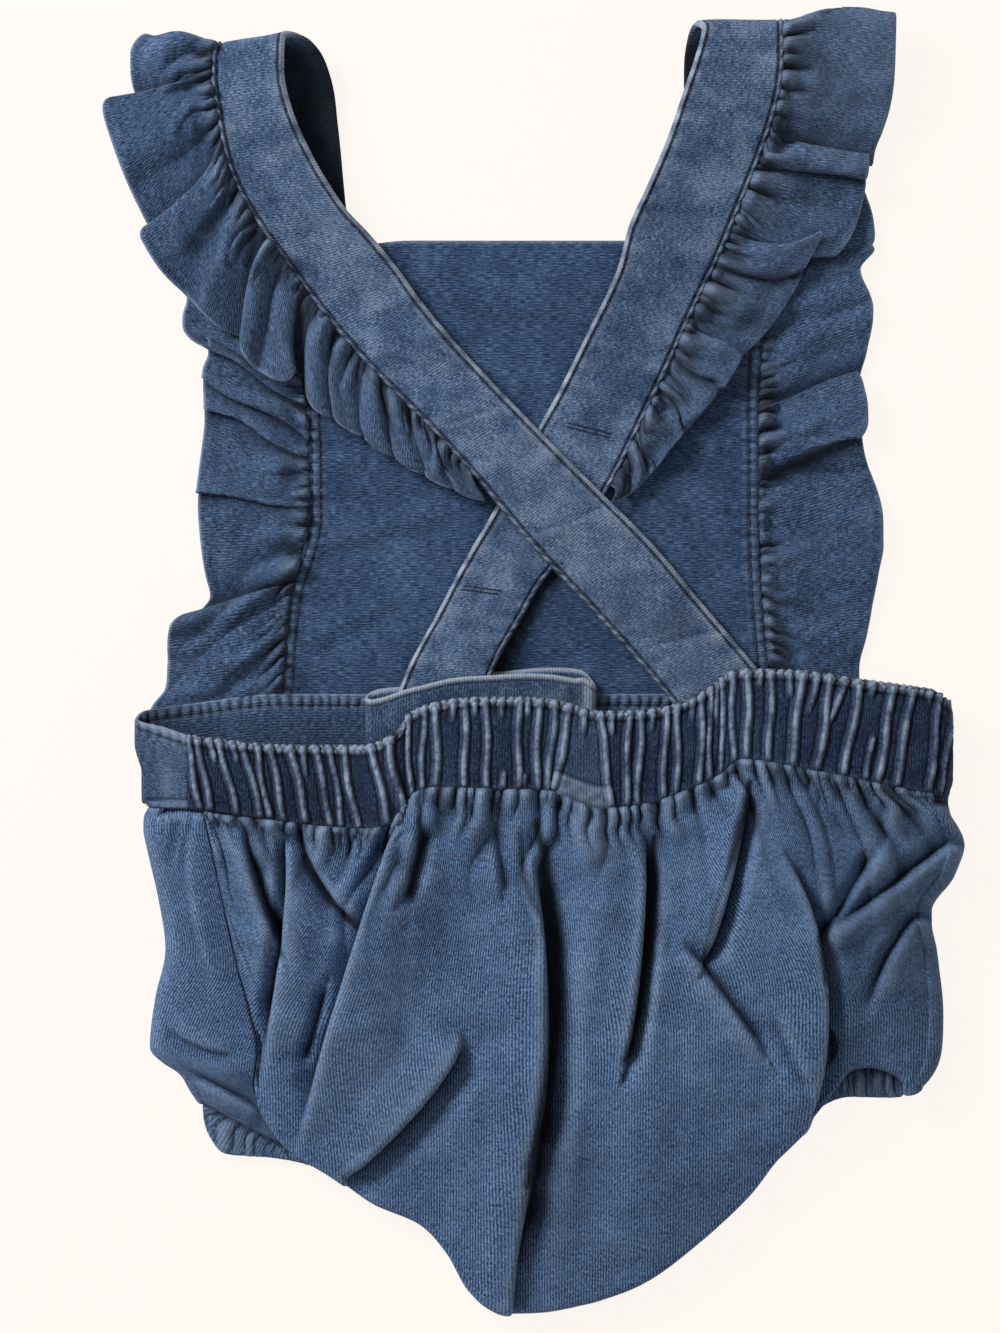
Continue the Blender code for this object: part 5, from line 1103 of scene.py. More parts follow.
def seat_cloth():
    """Seat: gathered into the waistband, creased, puffed out and rolled under at its foot."""
    fine = np.linspace(0, SEAT_TURN, 3000)
    spread = arc_lengths(seat_columns(fine)["top_x"])
    across = np.r_[np.interp(np.linspace(0, spread[-1], SEAT_GRID[0]), spread, fine),
                   np.linspace(SEAT_TURN, 1, SEAT_TURN_STEPS)[1:]]
    down = np.r_[np.linspace(0, 1, SEAT_GRID[1]) ** 1.2 * SEAT_ROLL,
                 np.linspace(SEAT_ROLL, 1, SEAT_TURN_STEPS)[1:]]
    side_share = np.clip((across - SEAT_TURN) / (1 - SEAT_TURN), 0, 1)
    roll = np.clip((down - SEAT_ROLL) / (1 - SEAT_ROLL), 0, 1)[:, None]
    flat_across = np.minimum(across, SEAT_TURN)
    column = seat_columns(flat_across)
    top = {key: BACK_WAIST[key][:UPPER_WAIST_ROWS] for key in BACK_WAIST}
    top_y = smooth_through(top["x"], top["bottom"], column["top_x"]) + 0.3
    waist_z = smooth_through(top["x"], top["height"], column["top_x"])
    straight = np.minimum(down / SEAT_ROLL, 1)[:, None]
    reach = np.hypot(column["foot_x"] - column["top_x"], column["foot_y"] - top_y)
    in_x = (column["top_x"] - column["foot_x"]) / reach
    in_y = (top_y - column["foot_y"]) / reach

    # Height of the laid cloth before its edges roll under.
    rise = smooth_through(SEAT_RISE["v"], SEAT_RISE["height"], straight)
    z = waist_z + (rise - waist_z) * ease(straight, 0.0, 0.3)
    z = SIDE_SEAM_HEIGHT + (z - SIDE_SEAM_HEIGHT) * ease(flat_across, 0.0, 0.1)
    edge_z = SIDE_TOP_HEIGHT + (SIDE_FOOT_HEIGHT - SIDE_TOP_HEIGHT) * straight
    z = z + (edge_z - z) * ease(flat_across, SEAT_TURN - 0.14, SEAT_TURN)

    stop_x = column["foot_x"] + in_x * SEAT_RIM
    stop_y = column["foot_y"] + in_y * SEAT_RIM
    x = column["top_x"] + (stop_x - column["top_x"]) * straight
    y = top_y + (stop_y - top_y) * straight
    x = (x + (1 - ease(flat_across, 0.0, 0.12))
         * (smooth_through(SIDE_SEAM["y"], SIDE_SEAM["x"], y) - x))
    edge_x = smooth_through(RIGHT_OUTLINE["y"], RIGHT_OUTLINE["x"], y) - SIDE_TURN
    near_edge = ease(flat_across, SEAT_TURN - 0.16, SEAT_TURN) * ease(straight, 0.0, 0.1)
    x = x + near_edge * (edge_x - x)

    # Grain: the cloth is gathered above and lies smooth below.
    fullness = 1.0 + 0.45 * (1 - ease(reach * straight, 0, 70))
    grain = (x * fullness + 12 * side_share,
             top_y - y + 8 * roll)
    hold = ease(flat_across, 0.0, 0.05)
    move_x, move_y, move_z = creased(x, y, SEAT_CREASES)
    away = reach * straight
    along = np.broadcast_to(column["top_x"], away.shape)
    lean = (SEAT_GATHER_X, SEAT_GATHER_LEAN)
    gather, crevice = gathers(along, away, 3.6, 3.0, 14, 41, lean, 3)
    tiny, pinch = gathers(along, away, 2.7, 2.4, 6, 47, lean, 2.4)
    gather, crevice = gather + tiny, np.maximum(crevice, 0.9 * pinch)
    fold, hollow = gathers(along, away, 9.5, 2.6, 42, 44, lean)
    z = (z + move_z * hold
         + (gather + fold - 1.5 * (1 - ease(away, 2, 11)) - 1.1) * hold * ease(away, -1.2, 1.2))
    z = z + 0.22 * ripples(x, y, 16, 42) + 0.12 * ripples(x, y, 7, 43)
    z = np.maximum(z, SEAT_LOWEST)
    x = x + move_x * hold
    y = y + move_y * hold

    # Foot: the last rows turn half round inwards and under.  Right side: the last columns
    # turn half round down to the surface.
    turned = side_share * np.pi
    angle = roll * np.pi
    foot_x = column["foot_x"]
    in_crotch = (ease(foot_x, CROTCH[0] - CROTCH_EASE, CROTCH[0])
                 * (1 - ease(foot_x, CROTCH[1], CROTCH[1] + CROTCH_EASE)))
    under = (UNDER_HEIGHT + (SINGLE / 2 - UNDER_HEIGHT) * in_crotch
             + FOOT_LIFT * (1 - ease(across, 0.02, 0.14)))
    last = np.flatnonzero(down <= SEAT_ROLL + 1e-9)[-1]
    start_z, last_x, last_y = z[last], x[last], y[last]
    turn = 1 - ease(across, SEAT_TURN - 0.02, SEAT_TURN)
    drop = (start_z - under) / 2
    out = SEAT_RIM * np.sin(angle)
    back = SEAT_TUCK * ease(roll, 0.5, 1.0)
    rolled = roll > 0
    x = np.where(rolled, last_x - in_x * (out - back) * turn, x)
    y = np.where(rolled, last_y - in_y * (out - back) * turn
                 - (1 - turn) * roll * CORNER_RUN * np.clip(np.cos(turned), 0, 1), y)
    z = np.where(rolled, start_z - drop * (1 - np.cos(angle)) * turn, z)

    radius = (z - SINGLE / 2) / 2
    x = x + SIDE_TURN * np.sin(turned)
    y = (y - SIDE_DROP * ease(turned, 0.0, 1.2) * ease(straight, 0.0, 0.06)
         * (1 - ease(straight, 0.8, 1.0)))
    z = np.where(turned > 0, SINGLE / 2 + radius * (1 + np.cos(turned)), z)

    middle = stack(x, y, z)
    relief = z - softened(z, 24)
    # Paler on the crests of the folds and on the gathers near the waist, and in two soft patches.
    wear_and_highlight = np.clip(0.22 * relief - 0.05, 0, 0.3) + 0.08 * gather * (1 - ease(away, 1, 9))
    wear_and_highlight = (wear_and_highlight + 0.22 * bump(np.hypot((x - 19) / 10, (y + 52) / 13))
            + 0.1 * bump(np.hypot((x + 46) / 24, (y + 112) / 34)))
    # Painted shade in the creases' hollows, between the gathers, in the deep hollows listed above,
    # over the right part that faces away from the key light, in a broad patch near the crotch and
    # along the side seam; a little darker towards the far left.
    painted_shade = (np.clip(-0.42 * relief - 0.1, 0, 1) + 1.1 * crevice * (1 - ease(away, 3, 14))
             + 0.5 * hollow)
    for x0, y0, x1, y1, x2, y2, half, depth in zip(*SEAT_HOLLOWS.values()):
        far, share, _, _ = beside(x, y, *curve_through(((x0, y0), (x1, y1), (x2, y2)), 14))
        reach_here = half * (0.35 + 0.65 * np.sin(np.pi * np.clip(share, 0.04, 0.96)))
        painted_shade = painted_shade + depth * bump(np.clip(far / reach_here, -1, 1))
    painted_shade = painted_shade + 0.3 * ease(x, 76, 92) * ease(-y, 55, 80) * (1 - 0.2 * ease(x, 108, 120))
    painted_shade = painted_shade + 0.16 * ease(x, 60, 84) * (1 - ease(-y, 55, 80))
    painted_shade = painted_shade + 0.5 * bump(np.hypot((x - 4 - 0.12 * (y + 150)) / 17, (y + 150) / 42))
    painted_shade = painted_shade + 0.12 * (1 - ease(x, -92, -80))
    seam = (1 - ease(flat_across, 0.001, 0.007)) * (down < SEAT_ROLL)[:, None]
    painted_shade = painted_shade + 0.8 * seam
    return middle, grain, wear_and_highlight, painted_shade


def front_panel_cloth():
    """Front panel, flat on the surface and turned up round the left side to its seam."""
    count = len(FRONT_COLUMNS["top_x"])
    row = np.linspace(0, count - 1, FRONT_GRID[0])
    column = {key: smooth_through(np.arange(count), FRONT_COLUMNS[key], row)
              for key in FRONT_COLUMNS}
    down = np.linspace(0, 1, FRONT_GRID[1])[:, None]
    y = column["top_y"] + (column["foot_y"] - column["top_y"]) * down
    x = column["top_x"] + (column["foot_x"] - column["top_x"]) * down
    right_limit = smooth_through(RIGHT_OUTLINE["y"], RIGHT_OUTLINE["x"], y) - FRONT_INSET
    x = x + ease(-row, -1.5, 0.0) * ease(down, 0.0, 0.2) * (right_limit - x)
    flat = stack(x, y, 0.6 + 0.08 * ripples(x, y, 22, 51))

    # Left side: half a turn round the outline, then flat to the seam on top.
    share = np.linspace(0, 1, SIDE_STEPS)[1:]
    side_y = SIDE_TOP + PANEL_TUCK + (np.interp(share, (0, 0.5, 1), SIDE_FOOT) - SIDE_TOP) * down
    turn_y = SIDE_TOP + PANEL_TUCK + (SIDE_FOOT[0] - SIDE_TOP) * down

    def radius_at(y):
        return (SIDE_SEAM_HEIGHT - SINGLE / 2) / 2 * (1 - 0.6 * ease(-y, 114, 134))

    outline = smooth_through(LEFT_OUTLINE["y"], LEFT_OUTLINE["x"], turn_y)
    angle = np.linspace(0, np.pi, ARC_STEPS)
    turn = stack(outline + radius_at(turn_y) * (1 - np.sin(angle)), turn_y,
                 SINGLE / 2 + radius_at(turn_y) * (1 - np.cos(angle)))
    seam = (smooth_through(SIDE_SEAM["y"], SIDE_SEAM["x"], side_y) - SIDE_SEAM_GAP
            + 1.2 * ease(-side_y, 122, 128))
    start = smooth_through(LEFT_OUTLINE["y"], LEFT_OUTLINE["x"], side_y) + radius_at(side_y)
    side_x = start + (seam - start) * share
    side = stack(side_x, side_y, SINGLE / 2 + 2 * radius_at(side_y) + 1.2 * np.sin(np.pi * share))
    move_x, move_y, move_z = creased(side[..., 0], side[..., 1], FRONT_CREASES)
    hold = np.sin(np.pi * np.clip(share, 0, 1)) ** 0.5
    gather, _ = gathers(side_x, SIDE_TOP - side_y, 5.0, 1.0, 9, 52)
    side[..., 2] -= 2.6 * (1 - ease(SIDE_TOP - side_y, -0.6, 2.0))
    side[..., 2] += (move_z + gather + 0.2 * ripples(side_x, side_y, 15, 53)) * hold
    side[..., 0] += move_x * hold
    side[..., 1] += move_y * hold
    middle = np.concatenate((flat, turn, side), axis=1)
    # Painted shade in the panel's hollows and along the seam's last columns; paler on raised cloth.
    relief = middle[..., 2] - softened(middle[..., 2], 14)
    painted_shade = np.clip(0.06 - 0.3 * relief, 0, 0.6)
    painted_shade[:, -2:] = 0.8
    wear_and_highlight = np.clip(0.3 * relief, 0, 0.4)
    across_cloth, down_cloth = surface_lengths(middle)
    return middle, (across_cloth, down_cloth), wear_and_highlight, painted_shade


def binding_cloth(rows, dark, seed):
    """Elastic edge of a leg opening, puckered across."""
    along = arc_lengths(rows["inner_x"], rows["inner_y"])
    at = np.linspace(0, along[-1], BINDING_GRID[0])
    value = {key: smooth_through(along, rows[key], at) for key in rows}
    down = np.linspace(0, 1, BINDING_GRID[1])[:, None]
    wide = np.hypot(value["outer_x"] - value["inner_x"], value["outer_y"] - value["inner_y"])
    lift, between = gathers(at, wide * down, 2.6, 1.7, 30, seed)
    fit = np.clip(wide / 8, 0.25, 1)
    x = value["inner_x"] + (value["outer_x"] - value["inner_x"]) * down
    y = value["inner_y"] + (value["outer_y"] - value["inner_y"]) * down
    z = value["height"] + lift * fit * np.sin(np.pi * np.clip(down, 0.15, 0.9))
    wear_and_highlight = 0.3 * lift * fit
    # Painted shade: dark, by the given share, inside the opening's arch and most at its inner edge,
    # and between the gathers.
    painted_shade = dark * (1.7 - 1.2 * down) + 0.75 * between * fit
    return stack(x, y, z), (np.broadcast_to(at, x.shape), wide * down), wear_and_highlight, painted_shade


def keeper_cloth():
    """Strap keeper: a flat loop whose two layers show as two worn edges."""
    x_start, x_end = KEEPER_TOP["x"][0], KEEPER_TOP["x"][-1]
    radius = (KEEPER_HIGH - KEEPER_LOW) / 2
    run = np.linspace(x_start + radius, x_end - radius, KEEPER_RUN)
    angle = np.linspace(0, np.pi, ARC_STEPS)[1:-1]
    middle_z = (KEEPER_HIGH + KEEPER_LOW) / 2
    x = np.r_[run, x_end - radius + radius * np.sin(angle),
              run[::-1], x_start + radius - radius * np.sin(angle)]
    z = np.r_[np.full(len(run), KEEPER_HIGH), middle_z + radius * np.cos(angle),
              np.full(len(run), KEEPER_LOW), middle_z - radius * np.cos(angle)]
    high = (z - KEEPER_LOW) / (KEEPER_HIGH - KEEPER_LOW)
    top = smooth_through(KEEPER_TOP["x"], KEEPER_TOP["y"], x)
    top = top - smooth_through(KEEPER_TOP["x"], KEEPER_TOP["drop"], x) * high
    down = np.r_[0, 0.02, 0.045, 0.07, 0.1, 0.13, np.linspace(0.17, 1, 14)][:, None]
    away = KEEPER_DEPTH * down
    rim = bump((away - 0.6) / 0.9)
    y = top - away
    z = z + np.where(high > 0.5, 1, -1) * (0.35 * rim - 0.3 * bump((away - 1.9) / 0.6))
    along = arc_lengths(x, z[0])
    wear_and_highlight = 0.85 * rim + 0.5 * bump(away / 0.8) + 0.7 * bump((x - x_end + 1.4) / 2.6)
    # Painted shade on the keeper's face below its edge and in the groove under the rim, and a
    # painted shadow beside the turned right end.
    painted_shade = (0.7 * bump((away - 1.9) / 0.6) + 0.3 * ease(away, 1.5, 3.0) * (x < x_end - 3.5)
             + 0.4 * bump((x - x_end + 6.5) / 3.5) * ease(away, 1.5, 4.0))
    return stack(x, y, z), (np.broadcast_to(along, y.shape), away + 0 * x), wear_and_highlight + 0 * x, painted_shade


def ruffle_seam(strap_rows, bib_side, outwards):
    """Seam line of a ruffle: up the bib's side, then along the strap's outer edge."""
    height = np.array((-10.4, 18.5, 41.5, 60.0, 76.5, 96.5))
    side_x = smooth_through(BIB_SIDES["y"], BIB_SIDES[bib_side], height) - outwards * SEAM_LAP
    side = np.stack((side_x, height, np.full(len(height), SINGLE / 2)), axis=1)
    _, outer, inner = strap_sections(strap_rows, SEAM_SECTIONS)
    across = outer - inner
    edge = outer - unit(across) * SEAM_LAP
    edge[:, 2] = np.maximum(edge[:, 2] - 0.3, SINGLE / 2)
    return np.concatenate((side, edge))


def hem_path(hem):
    """Points of a hem at even steps, with its corners rounded, in the table's columns."""
    key = arc_lengths(hem["x"], hem["y"], hem["z"])
    key = key + np.arange(len(key)) * 1e-3
    at = np.linspace(0, key[-1], 4 * int(key[-1] / HEM_STEP))
    fine = np.stack([smooth_through(key, hem[column], at) for column in hem], axis=1)
    reach = int(3 * HEM_ROUND / (at[1] - at[0]))
    weight = np.exp(-0.5 * (np.arange(-reach, reach + 1) * (at[1] - at[0]) / HEM_ROUND) ** 2)
    padded = np.concatenate((2 * fine[:1] - fine[reach:0:-1], fine,
                             2 * fine[-1:] - fine[-2:-reach - 2:-1]))
    smooth = np.stack([np.convolve(column, weight / weight.sum(), "valid") for column in padded.T],
                      axis=1)
    return smooth[::4]


def ruffle_cloth(strap_rows, bib_side, outwards, hem, puff, bend, sharp, tone_shift, seed):
    """One ruffle strip: gathered seam, lobes that fold over each other, narrow hem.  Puff
    and bend are distances along the seam: where it puffs up over the shoulder, and where
    a pleat turns away from the seam, more sharply the smaller sharp is.  Tone_shift is a
    painted highlight: how much paler the cloth over the shoulder is painted."""
    seam = ruffle_seam(strap_rows, bib_side, outwards)
    seam_at = arc_lengths(*seam.T)
    path = hem_path(hem)
    at, edge, depth = np.maximum.accumulate(path[:, 0]), path[:, 1:4], np.clip(path[:, 4], 0, 1)
    root = np.stack([np.interp(at, seam_at, seam[:, k]) for k in range(3)], axis=1)
    spread = (np.linspace(0, 1, RUFFLE_ACROSS) ** 1.15)[:, None]
    reach = np.linalg.norm(edge - root, axis=1)
    away = spread * reach
    middle = root + (edge - root) * spread[..., None]
    middle[..., 1] += (edge - root)[:, 1] * (spread ** sharp - spread) * bump((at - bend) / 9)
    middle[..., 2] = root[:, 2] + (edge[:, 2] - root[:, 2]) * spread ** 0.6
    middle[..., 1] += 3.2 * bump((spread - 0.4) / 0.5) * bump((at - puff) / 12)
    curl = (RUFFLE_CURL * ease(reach, 2, 7) * ease(at, 6, 20)
            * (np.sin(np.pi * spread) * ripples(at, 0, 12, seed + 8)
               + np.sin(2 * np.pi * spread) * ripples(at, 0, 13, seed + 9)))
    seam_run = unit(np.gradient(softened(root, 6), axis=0))[None, :, :2]
    middle[..., :2] += seam_run * curl[..., None]
    shoulder = (RUFFLE_SHOULDER * reach * np.sin(np.pi * spread ** 0.8) * ease(at, 238, 250)
                * (1 + 0.5 * ripples(at, 0, 16, seed + 10)))
    aside = np.stack((-seam_run[..., 1], seam_run[..., 0]), axis=2) * outwards
    middle[..., :2] += aside * shoulder[..., None]
    lift, between = gathers(at, away, 5.6, 4.0, 13, seed, RUFFLE_LEAN, 2.6)
    small, notch = gathers(at, away, 3.6, 3.2, 6, seed + 6, RUFFLE_LEAN, 2.0)
    wave, hollow = gathers(at, away, 12.0, 2.4, 36, seed + 3, RUFFLE_LEAN)
    lift, between = lift + small - 0.9 * notch, np.maximum(between, 1.05 * notch)
    open_cloth = (1 - depth) ** 0.6 * ease(at, 0.5, 5.0)
    start = ease(away, -0.4, 1.1)
    pressed = 1 - 0.7 * ease(at, 88, 102) * (1 - ease(at, 150, 172))
    raised = lift + wave - 1.7 * (1 - ease(away, 3, 11)) - 0.7
    middle[..., 2] += raised * start * (0.3 + 0.7 * open_cloth) * pressed
    middle[..., 2] += (0.35 * ripples(at * 1.3, away, 12, seed + 1)
                       + 0.15 * ripples(at, away, 5, seed + 2)) * start * open_cloth
    middle[..., 2] = np.maximum(middle[..., 2], 0.5)
    run = arc_lengths(*edge.T)
    crest = np.maximum(edge[:, 2] - softened(edge[:, 2][:, None], 60)[:, 0], 0)
    # Pale hem and crests, and tone_shift's painted highlight over the shoulder.
    wear_and_highlight = (0.8 * ease(spread, 0.972, 0.985) + np.clip(0.16 * crest, 0, 0.35) * spread
            + 0.06 * lift * (1 - ease(away, 2, 10)) + 0.06 * ease(at, 236, 262) * open_cloth
            + tone_shift * bump((at - puff - 12) / 48) * open_cloth)
    # Painted shade in the tucked folds, between the gathers near the seam, in the broad hollows and
    # along a line just inside the hem.
    painted_shade = (0.95 * depth * (0.85 - 0.1 * spread)
             + 1.0 * between * (1 - ease(away, 2.5, 7)) * (1 - ease(spread, 0.3, 0.7))
             + 0.35 * hollow * (1 - spread)
             + 0.35 * bump((reach * (1 - spread) - 2.4) / 0.5))
    painted_shade = np.minimum(painted_shade, 0.84)
    grain = (np.broadcast_to(run, away.shape), away)
    made = middle, grain, wear_and_highlight, painted_shade
    return mirrored(made) if outwards > 0 else made


# ---------------------------------------------------------------- stitches

def stitch_tree():
    """Geometry Nodes: short thread stitches laid along rows drawn as edges."""
    tree = bpy.data.node_groups.new("Romper stitch rows", "GeometryNodeTree")
    face = tree.interface
    face.new_socket("Rows", in_out="INPUT", socket_type="NodeSocketGeometry")
    for name, value in (("Pitch", 0.003), ("Stitch length", 0.0024), ("Thread", 0.0006)):
        face.new_socket(name, in_out="INPUT", socket_type="NodeSocketFloat").default_value = value
    face.new_socket("Seed", in_out="INPUT", socket_type="NodeSocketInt").default_value = 3
    face.new_socket("Thread material", in_out="INPUT", socket_type="NodeSocketMaterial")
    face.new_socket("Stitches", in_out="OUTPUT", socket_type="NodeSocketGeometry")
    given = add(tree, "NodeGroupInput").outputs
    curve = add(tree, "GeometryNodeMeshToCurve", {"Mesh": given["Rows"]}).outputs["Curve"]
    spots = add(tree, "GeometryNodeCurveToPoints", {"Curve": curve, "Length": given["Pitch"]},
                mode="LENGTH")
    grain = add(tree, "GeometryNodeMeshUVSphere",
                {"Segments": 8, "Rings": 6, "Radius": 0.5}).outputs["Mesh"]
    size = add(tree, "ShaderNodeCombineXYZ", {"X": given["Thread"], "Y": given["Thread"],
               "Z": given["Stitch length"]}).outputs["Vector"]
    vary = add(tree, "FunctionNodeRandomValue", {"Seed": given["Seed"]}, data_type="FLOAT")
    vary.inputs[2].default_value, vary.inputs[3].default_value = 0.85, 1.1
    size = add(tree, "ShaderNodeVectorMath", {0: size}, operation="SCALE")
    tree.links.new(vary.outputs[1], size.inputs["Scale"])
    rows = add(tree, "GeometryNodeInstanceOnPoints", {
        "Points": spots.outputs["Points"], "Instance": grain, "Rotation": spots.outputs["Rotation"],
        "Scale": size.outputs["Vector"]}).outputs["Instances"]
    solid = add(tree, "GeometryNodeRealizeInstances", {"Geometry": rows}).outputs["Geometry"]
    done = add(tree, "GeometryNodeSetMaterial",
               {"Geometry": solid, "Material": given["Thread material"]})
    out = add(tree, "NodeGroupOutput")
    tree.links.new(done.outputs["Geometry"], out.inputs["Stitches"])
    return tree


def sewn(name, rows, pitch, length, thread):
    """Lay stitches along rows of points with the stitch tree, and keep them as a mesh."""
    material = material_for_thread()
    points, edges = [], []
    for row in rows:
        first = len(points)
        points.extend((np.asarray(row) * MM).tolist())
        edges.extend((first + i, first + i + 1) for i in range(len(row) - 1))
    mesh = bpy.data.meshes.new(name + " rows")
    mesh.from_pydata(points, edges, [])
    guide = linked(bpy.data.objects.new(name + " rows", mesh))
    modifier = guide.modifiers.new("Stitches", "NODES")
    modifier.node_group = bpy.data.node_groups.get("Romper stitch rows") or stitch_tree()
    given = {"Pitch": pitch, "Stitch length": length, "Thread": thread, "Seed": 3,
             "Thread material": material}
    for item in modifier.node_group.interface.items_tree:
        if item.in_out == "INPUT" and item.name in given:
            modifier[item.identifier] = given[item.name]
    bpy.context.view_layer.update()
    evaluated = guide.evaluated_get(bpy.context.evaluated_depsgraph_get())
    made = bpy.data.meshes.new_from_object(evaluated)
    made.name = name
    made.shade_smooth()
    bpy.data.objects.remove(guide)
    if not made.polygons:
        raise RuntimeError(name + " has no stitches")
    piece = linked(bpy.data.objects.new(name, made))
    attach(piece, "root")
    return piece


def topstitched(name, rows, sizes):
    """Lay the romper's topstitches along rows of points."""
    return sewn(name, rows, sizes.stitch_pitch, sizes.stitch_length, sizes.thread)


# ---------------------------------------------------------------- add-on

class RomperSizes(bpy.types.PropertyGroup):
    """Sizes of the romper's cloth and sewing."""
    cloth: FloatProperty(name="Cloth", description="Thickness of one layer of knit denim",
                         default=0.0010, min=0.0003, max=0.002, unit="LENGTH")
    ruffle: FloatProperty(name="Ruffle", description="Thickness of the ruffles' single layer",
                          default=0.0008, min=0.0003, max=0.002, unit="LENGTH")
    wale_pitch: FloatProperty(name="Wale pitch",
                              description="Distance between two wales of the knit",
                              default=0.0008, min=0.0005, max=0.003, unit="LENGTH")
    stitch_pitch: FloatProperty(name="Stitch pitch", description="Distance between two topstitches",
                                default=0.0030, min=0.001, max=0.006, unit="LENGTH")
    stitch_length: FloatProperty(name="Stitch length", description="Length of thread that shows",
                                 default=0.0023, min=0.0005, max=0.005, unit="LENGTH")
    thread: FloatProperty(name="Thread", description="Thickness of the topstitching thread",
                          default=0.0006, min=0.0002, max=0.0015, unit="LENGTH")


class RomperColours(bpy.types.PropertyGroup):
    """Colours of the stage."""
    floor: FloatVectorProperty(name="Floor", description="Colour of the pale floor",
                               subtype="COLOR",
                               default=linear("#fff9f4"), min=0.0, max=1.0)
    glow: FloatProperty(name="Floor glow",
                        description="Light that the floor gives off, which softens shadows",
                        default=0.94, min=0.0, max=3.0)


class RomperBib(bpy.types.Operator):
    """Build the bib, its inner side up"""
    bl_idname = "romper.bib"
    bl_label = "Bib"

    def execute(self, context):
        sizes = context.scene.romper_sizes
        made, rows = bib_cloth()
        topstitched("bib_stitches", rows, sizes)
        piece = cloth("bib_cloth", made, sizes.cloth / MM, material_for("Knit denim, bib inside"))
        stand_for(piece, "bib")
        return {"FINISHED"}


class RomperWaistbands(bpy.types.Operator):
    """Build the flat front waistband and the shirred back waistband"""
    bl_idname = "romper.waistbands"
    bl_label = "Waistbands"

    def execute(self, context):
        sizes = context.scene.romper_sizes
        made = front_waistband_cloth()
        flat = made[0][:, :int(0.8 * made[0].shape[1])]
        topstitched("waistband_stitches", [flat[4] + (0, 0, 0.5)], sizes)
        front = cloth("front_waistband_cloth", made, sizes.cloth / MM,
                      material_for("Knit denim, ruffle"))
        stand_for(front, "front_waistband")
        back = cloth("back_waistband_cloth", back_waistband_cloth(), sizes.cloth / MM,
                     material_for("Knit denim, shirred"))
        stand_for(back, "back_waistband")
        return {"FINISHED"}


class RomperPanels(bpy.types.Operator):
    """Build the front panel and the creased seat over it"""
    bl_idname = "romper.panels"
    bl_label = "Front panel and seat"

    def execute(self, context):
        thickness = context.scene.romper_sizes.cloth / MM
        material = material_for("Knit denim, seat")
        front = cloth("front_panel_cloth", front_panel_cloth(), thickness, material)
        stand_for(front, "front_panel")
        seat = cloth("seat_cloth", seat_cloth(), thickness, material)
        stand_for(seat, "back_panel")
        return {"FINISHED"}


class RomperStraps(bpy.types.Operator):
    """Build the two crossed straps with their topstitching"""
    bl_idname = "romper.straps"
    bl_label = "Straps"

    def execute(self, context):
        rows = []
        # The pair after each length is the strap's tone shift: paler above nought, darker below.
        for name, source, length, tone_shift, seed in (
                ("strap_left", STRAP_LEFT, 0.314, (0.0, 0.07), 61),
                ("strap_right", STRAP_RIGHT, 0.295, (-0.14, 0.04), 71)):
            made, face = strap_cloth(source, tone_shift, seed)
            if source is STRAP_RIGHT:
                made = mirrored(made)
            piece = tube(name + "_cloth", made, material_for("Knit denim, strap"))
            stand_for(piece, name)
            rows.append(face[:, STRAP_STEPS.index(RUFFLE_LINE)])
            rows.append(face[:, -1 - STRAP_STEPS.index(PIPING_LINE)])
            if source is STRAP_RIGHT:
                sewn("buttonholes", buttonhole_rows(face), *BUTTONHOLE_SEWING)
        topstitched("strap_stitches", rows, context.scene.romper_sizes)
        return {"FINISHED"}


class RomperKeeper(bpy.types.Operator):
    """Build the loop that holds the right strap"""
    bl_idname = "romper.keeper"
    bl_label = "Strap keeper"

    def execute(self, context):
        piece = cloth("strap_keeper_cloth", keeper_cloth(), context.scene.romper_sizes.cloth / MM,
                      material_for("Knit denim, strap"), closed=True)
        stand_for(piece, "strap_keeper")
        return {"FINISHED"}


class RomperRuffles(bpy.types.Operator):
    """Build the two gathered ruffles"""
    bl_idname = "romper.ruffles"
    bl_label = "Ruffles"

    def execute(self, context):
        thickness = context.scene.romper_sizes.ruffle / MM
        # The number before each seed is the ruffle's painted highlight over the shoulder.
        for name, *shape in (
                ("ruffle_left", STRAP_LEFT, "left", -1, HEM_LEFT, 192, 226, 0.5, 0.0, 81),
                ("ruffle_right", STRAP_RIGHT, "right", 1, HEM_RIGHT, 195, 233, 0.15, 0.14, 91)):
            piece = cloth(name + "_cloth", ruffle_cloth(*shape), thickness,
                          material_for("Knit denim, ruffle"))
            stand_for(piece, name)
        return {"FINISHED"}


class RomperBindings(bpy.types.Operator):
    """Build the elastic edges of the leg openings"""
    bl_idname = "romper.bindings"
    bl_label = "Leg bindings"

    def execute(self, context):
        # Each binding's number after its rows is its share of painted shade inside the arch.
        for name, rows, dark, length, seed in (
                ("leg_binding_left", BINDING_LEFT, 0.2, 0.100, 101),
                ("leg_binding_right", BINDING_RIGHT, 0.5, 0.110, 111)):
            piece = cloth(name + "_cloth", binding_cloth(rows, dark, seed), BINDING_THICK,
                          material_for("Knit denim, seat"))
            stand_for(piece, name)
        return {"FINISHED"}


